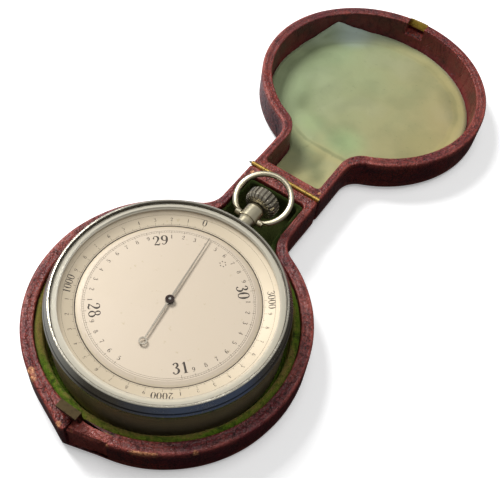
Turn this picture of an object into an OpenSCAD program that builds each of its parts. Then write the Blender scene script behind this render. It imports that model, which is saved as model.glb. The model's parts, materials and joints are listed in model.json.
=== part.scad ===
// A pocket surveying aneroid with a crown-driven altitude ring, lying in its open keyhole-shaped case.
// Millimetres. Origin on the table under the instrument's axis; +Y runs to the hinge, +Z up.

/* [Case] */
// gap between the drum and the velvet round it [mm]
well_gap = 1.7; // [1.5:0.1:2.5]
// thickness of the velvet wall [mm]
velvet_wall = 2.4; // [2.2:0.1:2.6]
// half width of the neck, outside [mm]
neck_half = 14.4; // [14:0.1:15.5]
// distance from the drum to the hinge line [mm]
neck_reach = 30.1; // [29.8:0.1:33]
// height of each half of the case [mm]
shell_height = 14; // [13.6:0.1:15]
// radius of the hollow where the neck meets the round end [mm]
neck_fillet = 9; // [8:0.5:11]
// thickness of the round wall, leather to leather [mm]
wall = 4.2; // [4:0.1:4.5]
// leather thickness outside [mm]
leather = 0.9; // [0.8:0.05:1]
// radius of the bottom edge of the base [mm]
base_edge = 2.5; // [2:0.1:2.6]
// radius of the top edge of the lid [mm]
lid_edge = 2.8; // [2:0.1:3]
// height of the velvet wall above the table [mm]
velvet_top = 12.4; // [11.5:0.1:12.8]
// how far the thumb-piece juts out of the round front [mm]
beak = 2.5; // [2:0.1:3]

/* [Hinge and catch] */
// radius of the hinge knuckles [mm]
knuckle = 0.85; // [0.8:0.05:1]
// radius of the hinge pin [mm]
pin_radius = 0.4; // [0.35:0.05:0.45]
// height of the catch tongue above the rim [mm]
tongue_rise = 5; // [4.5:0.1:5.5]
// travel of the catch [mm]
catch_travel = 0.75; // [0.7:0.05:0.8]

/* [Instrument] */
// outside radius of the drum [mm]
drum_radius = 37.2; // [37:0.1:37.3]
// how far the bezel stands out past the drum [mm]
bezel_lip = 0.45; // [0.4:0.05:0.6]
// height of the top of the bezel [mm]
bezel_top = 25.2; // [25.1:0.05:25.4]
// width of the band from the dial's edge to the drum's outside [mm]
scale_band = 9; // [8.95:0.05:9.2]
// teeth under the altitude ring
ring_teeth = 108; // [108:1:108]
// teeth of the pinion
pinion_teeth = 8; // [8:1:8]
// length of the pointer from the axis to its tip [mm]
pointer_length = 26; // [24:0.5:26.5]
// reading of the pointer [inches of mercury]
reading = 29.41; // [28.5:0.01:30.5]

/* [Pendant, crown and bow] */
// distance from the drum to the bow's pivots [mm]
pivot_reach = 6.6; // [6.3:0.1:6.7]
// radius of the bow's wire centre line [mm]
bow_radius = 9.5; // [9.2:0.1:9.6]
// radius of the bow's wire [mm]
bow_wire = 1; // [0.9:0.05:1.05]
// resting tilt of the bow [degrees]
bow_tilt = 14.4; // [12:0.2:16]
// radius of the crown [mm]
crown_radius = 5.9; // [5.5:0.1:6]
// flutes round the crown
crown_flutes = 22; // [18:1:26]

/* [Movement] */
// radius of the vacuum capsule [mm]
capsule_radius = 15; // [14:0.5:16]
// radius of the drum that the chain winds on [mm]
chain_drum = 0.7; // [0.6:0.05:0.75]
// distance from the axis to the rocking shaft [mm]
rocker_y = 24; // [23.5:0.5:24.5]

/* [Hidden] */
$fn = 96;

gap = 0.05;             // between pieces that are glued or screwed together
run = 0.03;             // radial clearance of a turning fit
case_radius = drum_radius + well_gap + velvet_wall + wall;
hinge_y = drum_radius + neck_reach;
bezel_radius = drum_radius + bezel_lip;
dial_radius = drum_radius - scale_band;
bow_pivot = drum_radius + pivot_reach;
end_y = hinge_y - 0.15; // outer face of the neck's end wall
seam = shell_height - 0.05; // top of each rim; a hair of air is left between the closed halves
core_floor = 2.0;       // top of the floor of each wooden tray
core_top = shell_height - 0.8;
leaf_thick = 0.6;
leaf_z = core_top - gap - leaf_thick; // underside of a hinge leaf
skin = 0.7;             // leather inside the walls
in_r = case_radius - wall;
in_w = neck_half - 3.1;
in_e = end_y - 4.45;
in_f = neck_fillet + 2;
seat = 3.4;             // top of the velvet floor
back = seat + gap;      // underside of the instrument
beak_x = -2.5;
beak_left = -22.6;      // angles of the ends of the beak, from -Y
beak_right = 16;
tongue_x = -2;
tongue_half = 3.6;
tongue_in = -(case_radius - 3.4);   // inner face of the tongue
tongue_out = tongue_in - 1.2;
button_left = -0.8;
button_right = 11.2;
glass_top = bezel_top - 0.4;
ledge = glass_top - 2.05;           // underside of the bezel's seat for the glass
dial_top = bezel_top - 3.8;
ring_floor = dial_top - 1.1;        // underside of the altitude ring and of the dial
inner_step = drum_radius - 3.4;     // inside of the bezel's seat for the glass
seat_r = drum_radius - 1.9;         // edge of that seat
gear_r = drum_radius - 4.8;
module_size = 2 * gear_r / ring_teeth;
pinion_r = module_size * pinion_teeth / 2;
pendant_z = ring_floor - module_size - pinion_r; // axis of pendant, crown and stem
screw_ring = drum_radius - 4.6;     // circle of the plate's screws
plate_top = 7.2;
lever_x = -6;
link_y = rocker_y - 3;
rocker_z = 10;
chain_z = 17.6;
chain_x = chain_drum + 0.17;
pointer_turn = (30.5 - reading) * 90 - 90; // from +Y, anticlockwise

// Outline of the case, moved in or out by changing all four sizes together.
module pear(r, w, e, f, c = 1.5) {
  yc = sqrt((r + f) * (r + f) - (w + f) * (w + f));
  circle(r);
  translate([-w, 0]) square([2 * w, e - c]);
  translate([-(w - c), 0]) square([2 * (w - c), e]);
  for (s = [-1, 1]) translate([s * (w - c), e - c]) circle(c);
  for (s = [0, 1]) mirror([s, 0]) difference() {
    polygon([[0, 0], [w + f, yc], [0, yc]]);
    translate([w + f, yc]) circle(f);
  }
}

function on_round(r, a) = [r * sin(a), -r * cos(a)];

// Plan of the thumb-piece's bulge, drawn in to the radius r.
module beak_plan(r) {
  k = r / case_radius;
  polygon([[0, 0], on_round(r - 0.5, beak_left), [beak_x * k, -(case_radius + beak) * k],
    on_round(r - 0.5, beak_right)]);
}

module outer_plan(d, with_beak) {
  pear(case_radius - d, neck_half - d, end_y - d, neck_fillet + d);
  if (with_beak) beak_plan(case_radius - d);
}

// What a rounded edge of radius rr takes off, the face at x = 0 and the foot at y = 0. The arc
// meets both at a slight angle.
module edge_off(rr) {
  k = 0.98 * rr;
  difference() {
    translate([-k, -1]) square([k + 1.5, k + 1]);
    translate([-k, k]) circle(rr);
  }
}

module straight_edge(p, q, rr) {
  d = q - p;
  translate([q.x, q.y, 0]) rotate([0, 0, atan2(-d.x, d.y)]) rotate([90, 0, 0])
    linear_extrude(norm(d)) edge_off(rr);
}

// The tools round a whole edge. Those of the two fillets are a little larger and turn past their
// ends, and their neighbours reach past the joints by lap, so that no ends meet.
module edges_off(rr, with_end) {
  r = case_radius;
  w = neck_half;
  f = neck_fillet;
  yc = sqrt((r + f) * (r + f) - (w + f) * (w + f));
  lap = 0.4;
  past = 25;
  joint = asin((w + f) / (r + f));
  b = joint - lap / r * 180 / PI;
  rotate([0, 0, 90 + b]) rotate_extrude(angle = 360 - 2 * b) translate([r, 0]) edge_off(rr);
  straight_edge([w, yc - lap], [w, end_y + 2], rr);
  straight_edge([-w, end_y + 2], [-w, yc - lap], rr);
  if (with_end) straight_edge([w + 2, end_y], [-w - 2, end_y], rr);
  translate([w + f, yc, 0]) rotate([0, 0, 180 - past])
    rotate_extrude(angle = 90 - joint + 2 * past) translate([f, 0]) mirror([1, 0]) edge_off(1.12 * rr);
  translate([-w - f, yc, 0]) rotate([0, 0, -90 + joint - past])
    rotate_extrude(angle = 90 - joint + 2 * past) translate([f, 0]) mirror([1, 0]) edge_off(1.12 * rr);
}

module wood(with_beak) {
  difference() {
    translate([0, 0, leather]) linear_extrude(core_top - leather) outer_plan(leather, with_beak);
    translate([0, 0, core_floor]) linear_extrude(20)
      pear(in_r + skin, in_w + skin, in_e + skin, in_f - skin);
    hinge_room();
    leaf_room(2);
  }
}

module hide(rr, with_beak) {
  difference() {
    union() {
      difference() {
        linear_extrude(seam) outer_plan(0, false);
        edges_off(rr, true);
        translate([0, 0, seam]) mirror([0, 0, 1]) edges_off(1, false);
      }
      if (with_beak) translate([0, 0, 0.5]) linear_extrude(seam - 0.8) beak_plan(case_radius);
    }
    translate([0, 0, leather]) difference() {
      linear_extrude(core_top - leather) outer_plan(leather, with_beak);
      translate([0, 0, core_floor - leather]) linear_extrude(20)
        pear(in_r + skin, in_w + skin, in_e + skin, in_f - skin);
    }
    translate([0, 0, core_floor]) linear_extrude(20) pear(in_r, in_w, in_e, in_f);
    hinge_room();
    intersection() {
      leaf_room(leaf_thick + 0.08);
      translate([-13.7, end_y - leather - 1.7, 0]) cube([27.4, 7, 30]);
    }
  }
}

// Room for the knuckles, along the top of the end wall, and for the webs that reach down to the leaf.
module hinge_room() {
  translate([-20, hinge_y, shell_height]) rotate([0, 90, 0]) cylinder(r = knuckle + 0.2, h = 40);
  translate([-13.7, hinge_y - knuckle - 0.1, leaf_z - 0.05]) cube([27.4, 5, shell_height - leaf_z - 0.35]);
}

// Bed of a leaf in the wood, under the leather.
module leaf_room(h) {
  translate([-13.7, hinge_y - 3.95, leaf_z - 0.05]) cube([27.4, 5, h]);
}

module nail_holes(r) {
  for (x = [-11, 0, 11]) translate([x, hinge_y - 2.75, core_top - 2.9]) cylinder(r = r, h = 3);
}

// The lid lies open as the base's reflection in the hinge line.
module to_lid() {
  translate([0, 2 * hinge_y, 0]) mirror([0, 1, 0]) children();
}

module catch_room() {
  translate([button_left - 0.15, -60, 2.6]) cube([button_right - button_left + 0.3, 60 + tongue_in + 0.85, 20]);
  translate([tongue_x - tongue_half - 0.15, tongue_out - 0.2, 3.4])
    cube([button_left - tongue_x + tongue_half + 0.4, 1.2 + 1.05, 20]);
}

module striker_room() intersection() {
  translate([tongue_x - tongue_half - 0.6, tongue_out - 1.9, seam - 6.3])
    cube([2 * tongue_half + 1.2, 4.2, 10]);
  cylinder(r = case_radius - 0.3, h = 30, $fn = 360);
}

module base_leather() color("#6b2a2c") difference() {
  hide(base_edge, true);
  catch_room();
}

module base_core() color("#8a6540") difference() {
  wood(true);
  catch_room();
  nail_holes(0.53);
}

module base_lining() color("#5d6a34") difference() {
  translate([0, 0, core_floor + 0.02]) linear_extrude(velvet_top - core_floor)
    pear(in_r - gap, in_w - gap, in_e - gap, in_f + gap);
  translate([0, 0, seat]) linear_extrude(20) pear(in_r - velvet_wall, in_w - 1.4, in_e - 1.4, in_f + 2);
}

module lid_leather() color("#6b2a2c") to_lid() difference() {
  hide(lid_edge, false);
  striker_room();
}

module lid_core() color("#8a6540") to_lid() difference() {
  wood(false);
  striker_room();
  nail_holes(0.53);
}

module lid_lining() color("#8f9a6c") to_lid()
  translate([0, 0, core_floor + 0.02]) linear_extrude(0.2)
    pear(in_r - gap, in_w - gap, in_e - gap, in_f + gap);

module knuckle_row(spans) {
  for (s = spans) translate([s[0], hinge_y, shell_height]) rotate([0, 90, 0])
    cylinder(r = knuckle, h = s[1] - s[0]);
  for (s = spans) {
    from = max(s[0], -13.5);
    wide = min(s[1], 13.5) - from;
    translate([from, hinge_y - 1.8, leaf_z]) cube([wide, 1.5, leaf_thick]);
    translate([from, hinge_y - knuckle, leaf_z]) cube([wide, knuckle - 0.3, shell_height - 0.5 - leaf_z]);
  }
}

module leaf(spans) {
  difference() {
    union() {
      translate([-13.5, hinge_y - 3.85, leaf_z]) cube([27, 2.3, leaf_thick]);
      knuckle_row(spans);
    }
    translate([-20, hinge_y, shell_height]) rotate([0, 90, 0]) cylinder(r = pin_radius + run, h = 40);
    nail_holes(0.53);
  }
}

module hinge_leaf_base() color("#b08a3c") leaf([[-14.2, -8.7], [-2.75, 2.75], [8.7, 14.2]]);

module hinge_leaf_lid() color("#b08a3c") to_lid() leaf([[-8.6, -2.85], [2.85, 8.6]]);

module hinge_pin() color("#8d8d88") translate([-15.3, hinge_y, shell_height]) rotate([0, 90, 0])
  cylinder(r = pin_radius, h = 29.6);

module hinge_nails_base() color("#b08a3c") nails();

module hinge_nails_lid() color("#b08a3c") to_lid() nails();

module nails() {
  for (x = [-11, 0, 11]) translate([x, hinge_y - 2.75, core_top - 2.8]) cylinder(r = 0.5, h = 2.75);
}

module catch_button() color("#74302f") difference() {
  translate([0, 0, 2.75]) linear_extrude(seam - 2.75) intersection() {
    union() {
      circle(case_radius);
      beak_plan(case_radius);
    }
    translate([button_left, -60]) square([button_right - button_left, 60 + tongue_in - 0.85]);
  }
  translate([button_left - 1, tongue_out - 0.05, 0])
    cube([tongue_x + tongue_half - button_left + 1.1, 3, 20]);
}

module catch_tongue() color("#a8843a") {
  translate([tongue_x - tongue_half, tongue_out, 4]) cube([2 * tongue_half, 1.2, 10 + tongue_rise]);
  translate([tongue_x - tongue_half, tongue_out - 1.4, 12.4 + tongue_rise])
    cube([2 * tongue_half, 2, 1.6]);
  translate([tongue_x, tongue_in - 0.8, 4]) cube([button_right - 0.6 - tongue_x, 0.8, 7]);
}

// A bowed leaf between the tongue's foot and the velvet.
module catch_spring() color("#8d8d88") translate([4, tongue_in + 0.08, 5]) intersection() {
  translate([0, 18.3, 0]) difference() {
    cylinder(r = 18.3, h = 5);
    translate([0, 0, -1]) cylinder(r = 18.1, h = 7);
  }
  translate([-5, 0, 0]) cube([10, 0.72, 5]);
}

module catch_striker() color("#b08a3c") to_lid() intersection() {
  translate([tongue_x - tongue_half - 0.5, tongue_out - 1.85, seam - 3.3])
    cube([2 * tongue_half + 1, 1, 3.3]);
  cylinder(r = case_radius - 0.35, h = 30, $fn = 360);
}

module turned(points) rotate_extrude() polygon(points);

module along_y(y) translate([0, y, pendant_z]) rotate([-90, 0, 0]) children();

module case_body() color("#c9c6bd") difference() {
  rotate_extrude() difference() {
    union() {
      translate([0, back]) square([drum_radius - 3, 4]);
      translate([0, back + 3]) square([drum_radius, bezel_top - 3.8 - back - 3]);
      translate([drum_radius - 3, back + 3]) circle(3);
      square_to(0, drum_radius - 1, back + 3, bezel_top - 2.5);
    }
    translate([-10, 0]) square([10, 40]);
    square_to(0, drum_radius - 5.2, back + 1.4, 40);
    square_to(0, drum_radius - 1.4, 6, ring_floor - 0.2);
    square_to(0, drum_radius - 3.6, 5, 7);
    square_to(0, drum_radius - 2.9, 6.5, 40);
    square_to(0, drum_radius - 1.6, ring_floor + 0.65, 40);
  }
  translate([0, 0, 0]) cylinder(r = 2, h = 10);
  along_y(drum_radius - 7.2) cylinder(r = 2, h = 10);
  along_y(drum_radius - 0.45) cylinder(r = 3.5, h = 3);
  for (a = [60, 180, 300]) rotate([0, 0, a]) translate([screw_ring, 0, 4.3]) cylinder(r = 0.72, h = 4);
}

// A rectangle given by its sides, for profiles.
module square_to(x0, x1, y0, y1) translate([x0, y0]) square([x1 - x0, y1 - y0]);

module bezel() color("#d3d2cc") turned([
  [drum_radius - 0.95, dial_top + 0.05], [bezel_radius - 0.05, dial_top + 0.05],
  [bezel_radius, dial_top + 0.5], [bezel_radius - 1.5, bezel_top - 0.12], [bezel_radius - 1.7, bezel_top],
  [seat_r + 0.2, bezel_top], [seat_r, bezel_top - 0.2], [seat_r, ledge + 0.6], [inner_step, ledge + 0.6],
  [inner_step, ledge],
  [drum_radius - 0.95, ledge]]);

module glass() color("#cfe0da", 0.35) turned([[0, glass_top - 1.4], [seat_r - gap, glass_top - 1.4],
  [seat_r - gap, glass_top - 0.75], [seat_r - 1.9, glass_top], [0, glass_top]]);

module altitude_ring() color("#d8cdb0") {
  turned([[dial_radius + 0.1, ring_floor], [dial_radius + 0.1, ring_floor + 0.65],
    [inner_step - 0.2, dial_top + 1], [inner_step - 0.1, ledge - 0.1], [seat_r + 0.2, ledge - 0.1],
    [seat_r + 0.2, ring_floor + 0.72], [drum_radius - 3, ring_floor + 0.72], [drum_radius - 3, ring_floor]]);
  for (i = [0 : ring_teeth - 1]) rotate([0, 0, 90 + i * 360 / ring_teeth]) ring_tooth();
}

// One tooth under the ring, pointing down, its flanks at 20 degrees like a rack's.
module ring_tooth() {
  t = module_size * PI / 4 - 0.12;
  a = 0.75 * module_size;
  d = 1.0 * module_size;
  s = tan(20);
  translate([gear_r - 0.9, 0, pendant_z + pinion_r]) rotate([90, 0, 90]) linear_extrude(1.9)
    polygon([[-t + a * s, -a], [t - a * s, -a], [t + d * s, d + 0.05], [-t - d * s, d + 0.05]]);
}

function inv_x(rb, u, off) = rb * (cos(u + off) + u * PI / 180 * sin(u + off));
function inv_y(rb, u, off) = rb * (sin(u + off) - u * PI / 180 * cos(u + off));

module pinion() color("#b99a4a") along_y(gear_r - 0.65) difference() {
  linear_extrude(1.5) rotate(90) union() {
    circle(pinion_r - 1.05 * module_size);
    rb = pinion_r * cos(20);
    tip = pinion_r + 0.72 * module_size;
    // angle round the base circle from a tooth's centre line to its flank
    half = 90 / pinion_teeth - 2.6 + (tan(20) * 180 / PI - 20);
    top = sqrt(tip * tip / (rb * rb) - 1) * 180 / PI;
    for (i = [0 : pinion_teeth - 1]) rotate(i * 360 / pinion_teeth + 180 / pinion_teeth) polygon(concat(
      [[0, 0]],
      [for (k = [0 : 5]) [inv_x(rb, top * k / 5, -half), inv_y(rb, top * k / 5, -half)]],
      [for (k = [5 : -1 : 0]) [inv_x(rb, top * k / 5, -half), -inv_y(rb, top * k / 5, -half)]]));
  }
  translate([0, 0, -1]) cylinder(r = 0.92, h = 5);
}

module winding_stem() color("#8d8d88") along_y(gear_r - 3.5) {
  cylinder(r = 0.9, h = 25);
  translate([0, 0, 4.45]) cylinder(r = 1.5, h = 0.6);
}

module stem_bearing() color("#b99a4a") difference() {
  translate([-1.8, gear_r - 3.3, plate_top + 0.02]) cube([3.6, 1.8, pendant_z + 1.6 - plate_top]);
  along_y(gear_r - 4.4) cylinder(r = 0.9 + run, h = 5);
}

module dial() color("#e2d6bd") turned([[1.2, ring_floor], [dial_radius - 0.1, ring_floor],
  [dial_radius, ring_floor + 0.2], [dial_radius, dial_top - 0.5], [dial_radius - 1.6, dial_top],
  [1.2, dial_top]]);

module pointer() color("#3b3d42") rotate([0, 0, pointer_turn]) difference() {
  union() {
    translate([0, 0, dial_top + 0.7]) linear_extrude(0.3) union() {
      polygon([[-0.33, 0], [-0.09, pointer_length], [0.09, pointer_length], [0.33, 0], [0.2, -14.9], [-0.2, -14.9]]);
      difference() {
        translate([0, -16]) circle(1.3);
        translate([0, -16]) circle(0.85);
      }
    }
    translate([0, 0, dial_top + 0.5]) cylinder(r = 1.4, h = 0.8);
  }
  cylinder(r = 0.42, h = 40);
}

module pointer_arbor() color("#8d8d88") {
  translate([0, 0, 15.95]) cylinder(r = 0.28, h = 1);
  translate([0, 0, 16.7]) cylinder(r = 0.5, h = ring_floor + 0.1 - 16.7);
  translate([0, 0, ring_floor]) cylinder(r = 0.4, h = dial_top + 1.4 - ring_floor);
  translate([0, 0, 17.2]) cylinder(r = chain_drum, h = 0.8);
  translate([0, 0, 18.35]) cylinder(r = 0.8, h = 0.7);
}

module hairspring() color("#7c86a0") translate([0, 0, 18.5]) {
  p = 0.4;
  for (i = [0 : 7]) rotate([0, 0, i % 2 * 180]) translate([p / 4, 0, 0])
    rotate_extrude(angle = 180.5) translate([0.95 + i * p / 2, 0]) square([0.12, 0.4]);
}

module movement_plate() color("#b99a4a") difference() {
  translate([0, 0, 6.02]) cylinder(r = drum_radius - 3.2, h = plate_top - 6.02);
  translate([0, 0, 5]) cylinder(r = 1.05, h = 5);
  for (a = [60, 180, 300]) rotate([0, 0, a]) translate([screw_ring, 0, 5]) cylinder(r = 0.72, h = 5);
}

module plate_screws() color("#8d8d88")
  for (a = [60, 180, 300]) rotate([0, 0, a]) difference() {
    union() {
      translate([screw_ring, 0, 4.4]) cylinder(r = 0.7, h = plate_top - 4.3);
      translate([screw_ring, 0, plate_top + 0.02]) cylinder(r = 1.3, h = 0.8);
    }
    translate([screw_ring - 1.6, -0.15, plate_top + 0.5]) cube([4, 0.3, 1]);
  }

module capsule() color("#c2bda9") difference() {
  rotate_extrude() polygon(concat(
    [[0, 7.3], [2.4, 7.3], [2.4, 8]],
    [for (k = [1 : 10]) [2.4 + k * (capsule_radius - 3.4) / 10, k % 2 == 1 ? 8.35 : 7.75]],
    [[capsule_radius, 9.4], [capsule_radius, 10.4]],
    [for (k = [10 : -1 : 1]) [2.4 + k * (capsule_radius - 3.4) / 10, k % 2 == 1 ? 11.6 : 12.1]],
    [[2.4, 11.9], [1.6, 12.4], [1.6, 14.3], [0, 14.3]]));
  translate([0, 0, 7]) cylinder(r = 1.03, h = 1.6);
  translate([-3, 0, 13.45]) rotate([0, 90, 0]) cylinder(r = 0.72, h = 6);
}

module adjusting_screw() color("#8d8d88") difference() {
  union() {
    translate([0, 0, back + 0.3]) cylinder(r = 1.8, h = 0.9);
    translate([0, 0, back + 0.3]) cylinder(r = 1, h = 4.6);
  }
  translate([-3, -0.2, 0]) cube([6, 0.4, back + 0.8]);
}

module bridge() color("#8f8f8a") difference() {
  union() {
    for (s = [-1, 1]) translate([s * 18.7 - 1.6, -17.5, plate_top + 0.02]) cube([3.2, 6, 14.6 - plate_top]);
    translate([-19.5, -17.5, 13.1]) cube([39, 6, 1.5]);
  }
  for (s = [-1, 1]) translate([s * 5, -15.5, 12]) cylinder(r = 0.72, h = 4);
}

module bridge_screws() color("#8d8d88") for (s = [-1, 1]) translate([s * 5, -15.5, 0]) difference() {
  union() {
    translate([0, 0, 12.9]) cylinder(r = 0.7, h = 3);
    translate([0, 0, 15.58]) cylinder(r = 1.3, h = 0.8);
  }
  translate([-2, -0.15, 16]) cube([4, 0.3, 1]);
}

module mainspring() color("#7c86a0") difference() {
  union() {
    translate([-7.5, -17.5, 14.68]) cube([15, 20.5, 0.8]);
    for (s = [-1, 1]) translate([s * 3 - 0.5, -1.2, 12.9]) cube([1, 2.4, 1.9]);
  }
  for (s = [-1, 1]) translate([s * 5, -15.5, 12]) cylinder(r = 0.85, h = 5);
  translate([-5, 0, 13.45]) rotate([0, 90, 0]) cylinder(r = 0.4 + run, h = 10);
  translate([lever_x, -4.5, 14]) cylinder(r = 0.72, h = 4);
}

module spring_pin() color("#8d8d88") translate([-4.2, 0, 13.45]) rotate([0, 90, 0]) cylinder(r = 0.4, h = 8.4);

module main_lever() color("#b99a4a") difference() {
  union() {
    translate([lever_x - 1.5, -7, 15.95]) cube([3, link_y + 8, 0.9]);
    translate([lever_x - 1.5, -7, 15.5]) cube([3, 5, 0.6]);
  }
  translate([lever_x, -4.5, 14]) cylinder(r = 0.72, h = 4);
  translate([lever_x, link_y, 14]) cylinder(r = 0.4, h = 4);
}

module lever_screw() color("#8d8d88") translate([lever_x, -4.5, 0]) difference() {
  union() {
    translate([0, 0, 14.8]) cylinder(r = 0.7, h = 2.2);
    translate([0, 0, 16.87]) cylinder(r = 1.25, h = 0.7);
  }
  translate([-2, -0.15, 17.3]) cube([4, 0.3, 1]);
}

module link() color("#8d8d88") translate([lever_x, link_y, 0]) {
  translate([0, 0, rocker_z - 0.9]) cylinder(r = 0.37, h = 17.2 - rocker_z + 0.9);
  translate([0, 0, 16.87]) cylinder(r = 0.7, h = 0.4);
}

module rocking_shaft() color("#8d8d88") {
  translate([-9.6, rocker_y, rocker_z]) rotate([0, 90, 0]) cylinder(r = 0.8, h = 19.2);
  translate([-11.2, rocker_y, rocker_z]) rotate([0, 90, 0]) cylinder(r = 0.45, h = 22.4);
  translate([chain_x - 0.4, rocker_y - 0.4, rocker_z]) cube([0.8, 0.8, chain_z - rocker_z + 0.6]);
  translate([lever_x, 0, rocker_z - 0.4]) difference() {
    union() {
      translate([-0.8, link_y, 0]) cube([1.6, 3, 0.8]);
      translate([0, link_y, 0]) cylinder(r = 1.2, h = 0.8);
    }
    translate([0, link_y, -1]) cylinder(r = 0.66, h = 4);
  }
}

module shaft_bearings() color("#b99a4a") for (s = [-1, 1]) difference() {
  translate([s * 10.8 - 1, rocker_y - 1.5, plate_top + 0.02]) cube([2, 3, rocker_z + 1.6 - plate_top]);
  translate([s * 10.8 - 3, rocker_y, rocker_z]) rotate([0, 90, 0]) cylinder(r = 0.45 + run, h = 6);
}

module chain() color("#8d8d88") {
  translate([chain_x, 0, chain_z]) rotate([-90, 0, 0]) cylinder(r = 0.14, h = rocker_y - 0.45);
  translate([0, 0, chain_z]) rotate([0, 0, 180]) rotate_extrude(angle = 180)
    translate([chain_x, 0]) circle(0.14);
}

module arbor_cock() color("#b99a4a") difference() {
  union() {
    translate([-2.5, -2.5, 15.8]) cube([25.5, 5, 0.8]);
    translate([-2.5, -2.5, 19.3]) cube([25.5, 5, 0.7]);
    translate([19.5, -2.5, plate_top + 0.02]) cube([3.5, 5, 12.5]);
  }
  translate([0, 0, 15]) cylinder(r = 0.28 + run, h = 3);
  translate([0, 0, 18]) cylinder(r = 0.5 + run, h = 3);
}

module dial_feet() color("#b99a4a") for (a = [30, 150, 270]) rotate([0, 0, a])
  translate([dial_radius - 2.2, 0, plate_top + 0.02]) cylinder(r = 1.5, h = ring_floor - plate_top - 0.04);

module pendant() color("#cdc8b6") along_y(0) difference() {
  d = drum_radius;
  rotate_extrude() polygon([[0, d - 1.5], [1.95, d - 1.5], [1.95, d - 0.4], [3.4, d - 0.1], [2.7, d + 1.4],
    [2.7, d + 4.4], [3.0, d + 4.9], [3.35, d + 5.1], [3.35, d + 10], [2.7, d + 11.2], [0, d + 11.2]]);
  translate([0, 0, d - 7]) cylinder(r = 0.9 + run, h = 30);
  for (s = [-1, 1]) translate([0, 0, bow_pivot]) rotate([0, 90 * s, 0]) translate([0, 0, 1.4])
    cylinder(r = 0.62, h = 5);
}

module crown() color("#c4bfae") along_y(drum_radius + 11.6) difference() {
  rotate_extrude() difference() {
    union() {
      polygon([[0, 0], [3.2, 0], [4.9, 0.5], [crown_radius - 0.3, 1.2], [crown_radius, 1.8], [crown_radius, 4.6],
        [0, 4.6]]);
      intersection() {
        translate([0, -2.2]) circle(8.9);
        square_to(0, crown_radius, 4, 8);
      }
    }
  }
  for (i = [0 : crown_flutes - 1]) rotate([0, 0, i * 360 / crown_flutes])
    translate([crown_radius + 0.2, 0, 1.2]) cylinder(r = 0.5, h = 8);
  translate([0, 0, -1]) cylinder(r = 0.92, h = 6.2);
}

module bow() color("#d2cab2") translate([0, bow_pivot, pendant_z]) rotate([bow_tilt, 0, 0]) difference() {
  union() {
    c = sqrt(bow_radius * bow_radius - 16.8);
    a = atan2(c, 4.1);
    translate([0, c, 0]) rotate([0, 0, -a]) rotate_extrude(angle = 180 + 2 * a)
      translate([bow_radius, 0]) circle(bow_wire);
    for (s = [-1, 1]) translate([s * 4.1, 0, 0]) rotate([0, 90, 0]) translate([0, 0, -0.65])
      cylinder(r = 1.25, h = 1.3);
  }
  for (s = [-1, 1]) translate([s * 4.1, 0, 0]) rotate([0, 90, 0]) translate([0, 0, -2])
    cylinder(r = 0.63, h = 4);
  for (s = [-1, 1]) translate([s * 6, 0, 0]) rotate([0, 90, 0]) translate([0, 0, -1.2])
    cylinder(r = 1.2, h = 2.4);
}

module bow_screws() color("#c4bfae") for (s = [-1, 1]) translate([0, bow_pivot, pendant_z])
  rotate([0, 90 * s, 0]) difference() {
    union() {
      translate([0, 0, 1.6]) cylinder(r = 0.6, h = 3.4);
      translate([0, 0, 4.82]) cylinder(r = 1.05, h = 0.5);
    }
    translate([-2, -0.12, 5.1]) cube([4, 0.24, 1]);
  }

base_leather();
base_core();
base_lining();
hinge_leaf_base();
hinge_leaf_lid();
hinge_pin();
hinge_nails_base();
hinge_nails_lid();
lid_leather();
lid_core();
lid_lining();
catch_button();
catch_tongue();
catch_spring();
catch_striker();
case_body();
bezel();
glass();
altitude_ring();
dial();
pointer();
pointer_arbor();
hairspring();
movement_plate();
plate_screws();
capsule();
adjusting_screw();
bridge();
bridge_screws();
mainspring();
spring_pin();
main_lever();
lever_screw();
link();
rocking_shaft();
shaft_bearings();
chain();
arbor_cock();
dial_feet();
stem_bearing();
winding_stem();
pinion();
pendant();
crown();
bow();
bow_screws();
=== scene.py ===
"""Looks of a pocket surveying aneroid that lies in its own leather case, open flat."""
import json
import math
from collections import namedtuple

import bmesh
import bpy
from bpy.props import FloatProperty, FloatVectorProperty, IntProperty, PointerProperty
from mathutils import Matrix, Vector, noise


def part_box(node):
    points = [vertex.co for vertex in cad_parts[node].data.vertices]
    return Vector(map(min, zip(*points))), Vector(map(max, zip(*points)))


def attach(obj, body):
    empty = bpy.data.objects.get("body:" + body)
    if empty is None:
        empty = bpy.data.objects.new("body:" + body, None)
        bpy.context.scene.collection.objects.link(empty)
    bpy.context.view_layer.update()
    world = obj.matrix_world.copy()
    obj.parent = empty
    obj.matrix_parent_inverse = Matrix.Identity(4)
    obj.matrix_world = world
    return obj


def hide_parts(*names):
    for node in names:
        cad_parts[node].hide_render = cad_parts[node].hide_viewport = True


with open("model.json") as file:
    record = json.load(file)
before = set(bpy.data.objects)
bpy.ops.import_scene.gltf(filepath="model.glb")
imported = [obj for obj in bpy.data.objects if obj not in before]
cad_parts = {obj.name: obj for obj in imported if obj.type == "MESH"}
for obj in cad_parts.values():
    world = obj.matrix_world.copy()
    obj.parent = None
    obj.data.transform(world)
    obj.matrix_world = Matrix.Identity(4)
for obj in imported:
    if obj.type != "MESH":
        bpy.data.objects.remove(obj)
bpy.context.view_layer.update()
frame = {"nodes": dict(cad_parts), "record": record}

bl_info = {
    "name": "Pocket aneroid in its case",
    "version": (1, 0, 0),
    "blender": (4, 5, 0),
    "location": "3D View > Sidebar > Aneroid",
    "description": "Leather, velvet, silk, metal and figures of a surveying aneroid in its case",
    "category": "Object",
}

MM = 0.001
NODES = frame["nodes"]

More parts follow.
